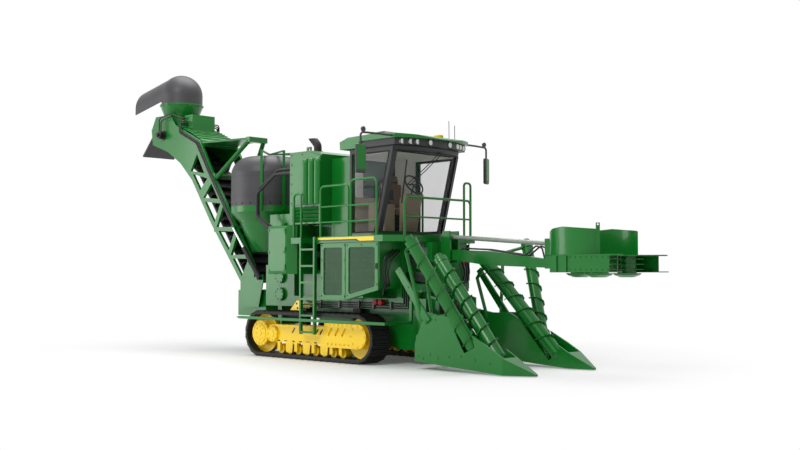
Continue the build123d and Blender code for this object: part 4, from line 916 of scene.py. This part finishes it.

# Topper link and fastenings
# The link is drawn tube painted pale grey-green, a painted reflection in place of chrome's shine; screws hold the side
# channels of the head.
# Pale grey-green painted reflection that stands in for the shine of the chromed link.
link_painted_reflection = enamel("pale grey painted reflection", "#8d978b", "#98a295", PEEL_MM)
dress(["topper_link"], link_painted_reflection)
topper_bolts = []
for side, word, way in SIDES:
    for x in range(5620, 6300, 95):
        topper_bolts.append((at(x, side * 690, 1830), way))
        topper_bolts.append((at(x, side * 690, 1640), way))
bolts("topper_bolts", topper_bolts, green_enamel, "topper_head", 0.02, 0.01)

# Divider fastenings
# Hexagon-head steel screws that hold the wear sheets to the divider frames, painted with them.
for side, word, way in SIDES:
    places = [(at(x, side * 1040, z), way) for x, z in ((2820, 220), (2930, 190), (3080, 260), (3260, 210), (3500, 240),
                                                        (3000, 830), (3200, 830), (3760, 260), (4050, 220), (4350, 180))]
    places += [(at(x, side * 1075, z), way) for x, z in ((2420, 1600), (2390, 1645), (3020, 810), (2620, 1350), (2820, 1100))]
    bolts(f"divider_bolts_{word}", places, green_enamel, f"divider_{word}")

# Coupling caps and reflectors
# Moulded red caps on the couplings of the chassis rails, and a red acrylic reflector on
# the front of the left cooler housing.
red_acrylic, tree, shader = finish_named("moulded red acrylic", {"Roughness": 0.35, "IOR": 1.49, "Specular IOR Level": 0.3})
where = add_node(tree, "ShaderNodeTexCoord")
PRISM_MM = 8
prisms = add_node(tree, "ShaderNodeTexVoronoi", {"Scale": 1000 / PRISM_MM}, {"Vector": (where, "Object")})
tint = add_node(tree, "ShaderNodeMix", {"A": linear("#c4140e"), "B": linear("#9c0f0a")}, {"Factor": (prisms, "Distance")},
                data_type="RGBA")
tree.links.new(tint.outputs["Result"], shader.inputs["Base Color"])
facets = add_node(tree, "ShaderNodeBump", {"Strength": 0.3, "Distance": 0.001}, {"Height": (prisms, "Distance")})
tree.links.new(facets.outputs["Normal"], shader.inputs["Normal"])
for side, word, way in SIDES:
    caps = [[(x, side * RAIL_FACE, 1075), (x, side * (RAIL_FACE + 95), 1075)] for x in (1440, 1570)]
    settle(f"coupling_caps_{word}", tube_mesh(f"coupling_caps_{word}", caps, 0.05), red_acrylic, "machine", 0.01)
wedge = [(1000, 1730), (1000, 1800), (1180, 1785), (1180, 1745)]
plate = [[(x, y, z) for y, z in wedge] for x in (2000, 2008)]
settle("reflector", sweep_mesh("reflector", plate), red_acrylic, "machine")

# Studio: floor, light and camera at the photograph's angle
# A pale seamless floor under large soft boxes. It keeps the machine's shadow near the tracks
# and runs out to plain white, as the world behind it does.
floor_mesh = bpy.data.meshes.new("studio floor")
FLOOR = 90
floor_mesh.from_pydata([(-FLOOR, -FLOOR, 0), (FLOOR, -FLOOR, 0), (FLOOR, FLOOR, 0), (-FLOOR, FLOOR, 0)], [], [(0, 1, 2, 3)])
floor = bpy.data.objects.new("studio floor", floor_mesh)
bpy.context.collection.objects.link(floor)
pale_floor, tree, shader = finish_named("pale studio floor", {
    "Base Color": linear("#f2f2f2"), "Roughness": 0.95, "Specular IOR Level": 0.1})
where = add_node(tree, "ShaderNodeTexCoord")
reach = add_node(tree, "ShaderNodeVectorMath", {}, {0: (where, "Object")}, operation="LENGTH")
NEAR_M = 3
FAR_M = 8
fade = add_node(tree, "ShaderNodeMapRange", {"From Min": NEAR_M, "From Max": FAR_M, "To Min": 0.06, "To Max": 1.0},
                {"Value": (reach, "Value")}, interpolation_type="SMOOTHSTEP")
ray = add_node(tree, "ShaderNodeLightPath")
white = add_node(tree, "ShaderNodeEmission", {"Color": (1, 1, 1, 1), "Strength": 1.0})
seen = add_node(tree, "ShaderNodeMath", {}, {0: (ray, "Is Camera Ray"), 1: (ray, "Is Glossy Ray")}, operation="MAXIMUM")
clear = add_node(tree, "ShaderNodeMath", {}, {0: (seen, 0), 1: (ray, "Is Transmission Ray")}, operation="MAXIMUM")
share = add_node(tree, "ShaderNodeMath", {}, {0: (fade, "Result"), 1: (clear, 0)}, operation="MULTIPLY")
blended = add_node(tree, "ShaderNodeMixShader", {}, {0: (share, 0), 1: (shader, "BSDF"), 2: (white, "Emission")})
tree.links.new(blended.outputs[0], tree.nodes["Material Output"].inputs["Surface"])
floor_mesh.materials.append(pale_floor)

world = bpy.data.worlds.new("studio")
bpy.context.scene.world = world
world.use_nodes = True
tree = world.node_tree
glow = tree.nodes["Background"]
glow.inputs["Color"].default_value = (1, 1, 1, 1)
ray = add_node(tree, "ShaderNodeLightPath")
seen = add_node(tree, "ShaderNodeMath", {}, {0: (ray, "Is Camera Ray"), 1: (ray, "Is Glossy Ray")}, operation="MAXIMUM")
clear = add_node(tree, "ShaderNodeMath", {}, {0: (seen, 0), 1: (ray, "Is Transmission Ray")}, operation="MAXIMUM")
WORLD_LIGHT = 0.3
level = add_node(tree, "ShaderNodeMapRange", {"To Min": WORLD_LIGHT, "To Max": 1.0}, {"Value": (clear, 0)})
tree.links.new(level.outputs["Result"], glow.inputs["Strength"])


def soft_light(name, place, aim, size, watts):
    """A large soft box at a place, turned to an aim point."""
    lamp = bpy.data.lights.new(name, "AREA")
    lamp.size = size
    lamp.energy = watts
    box = bpy.data.objects.new(name, lamp)
    box.location = place
    box.rotation_euler = (Vector(aim) - Vector(place)).to_track_quat("-Z", "Y").to_euler()
    box.visible_camera = False
    bpy.context.collection.objects.link(box)


soft_light("key soft box", (3, -15, 14), (0, 0, 1.5), 7, 1500)
soft_light("side soft box", (-17, -15, 3), (0, 0, 2), 10, 1150)
soft_light("top soft box", (-3, 2, 16), (0, 0, 1), 12, 2200)

CAMERA_AT = (15.16, -13.83, 1.60)
CAMERA_AZIMUTH = math.radians(44.46)
CAMERA_PITCH = math.radians(2.56)
FOCAL_PIXELS = 1060.8
IMAGE_WIDTH = 800
camera = bpy.data.cameras.new("camera")
camera.sensor_width = 36
camera.lens = FOCAL_PIXELS / IMAGE_WIDTH * camera.sensor_width
camera.clip_end = 200
eye = bpy.data.objects.new("camera", camera)
eye.location = CAMERA_AT
eye.rotation_euler = (math.pi / 2 + CAMERA_PITCH, 0, CAMERA_AZIMUTH)
bpy.context.collection.objects.link(eye)
bpy.context.scene.camera = eye
bpy.context.scene.view_settings.view_transform = "Standard"
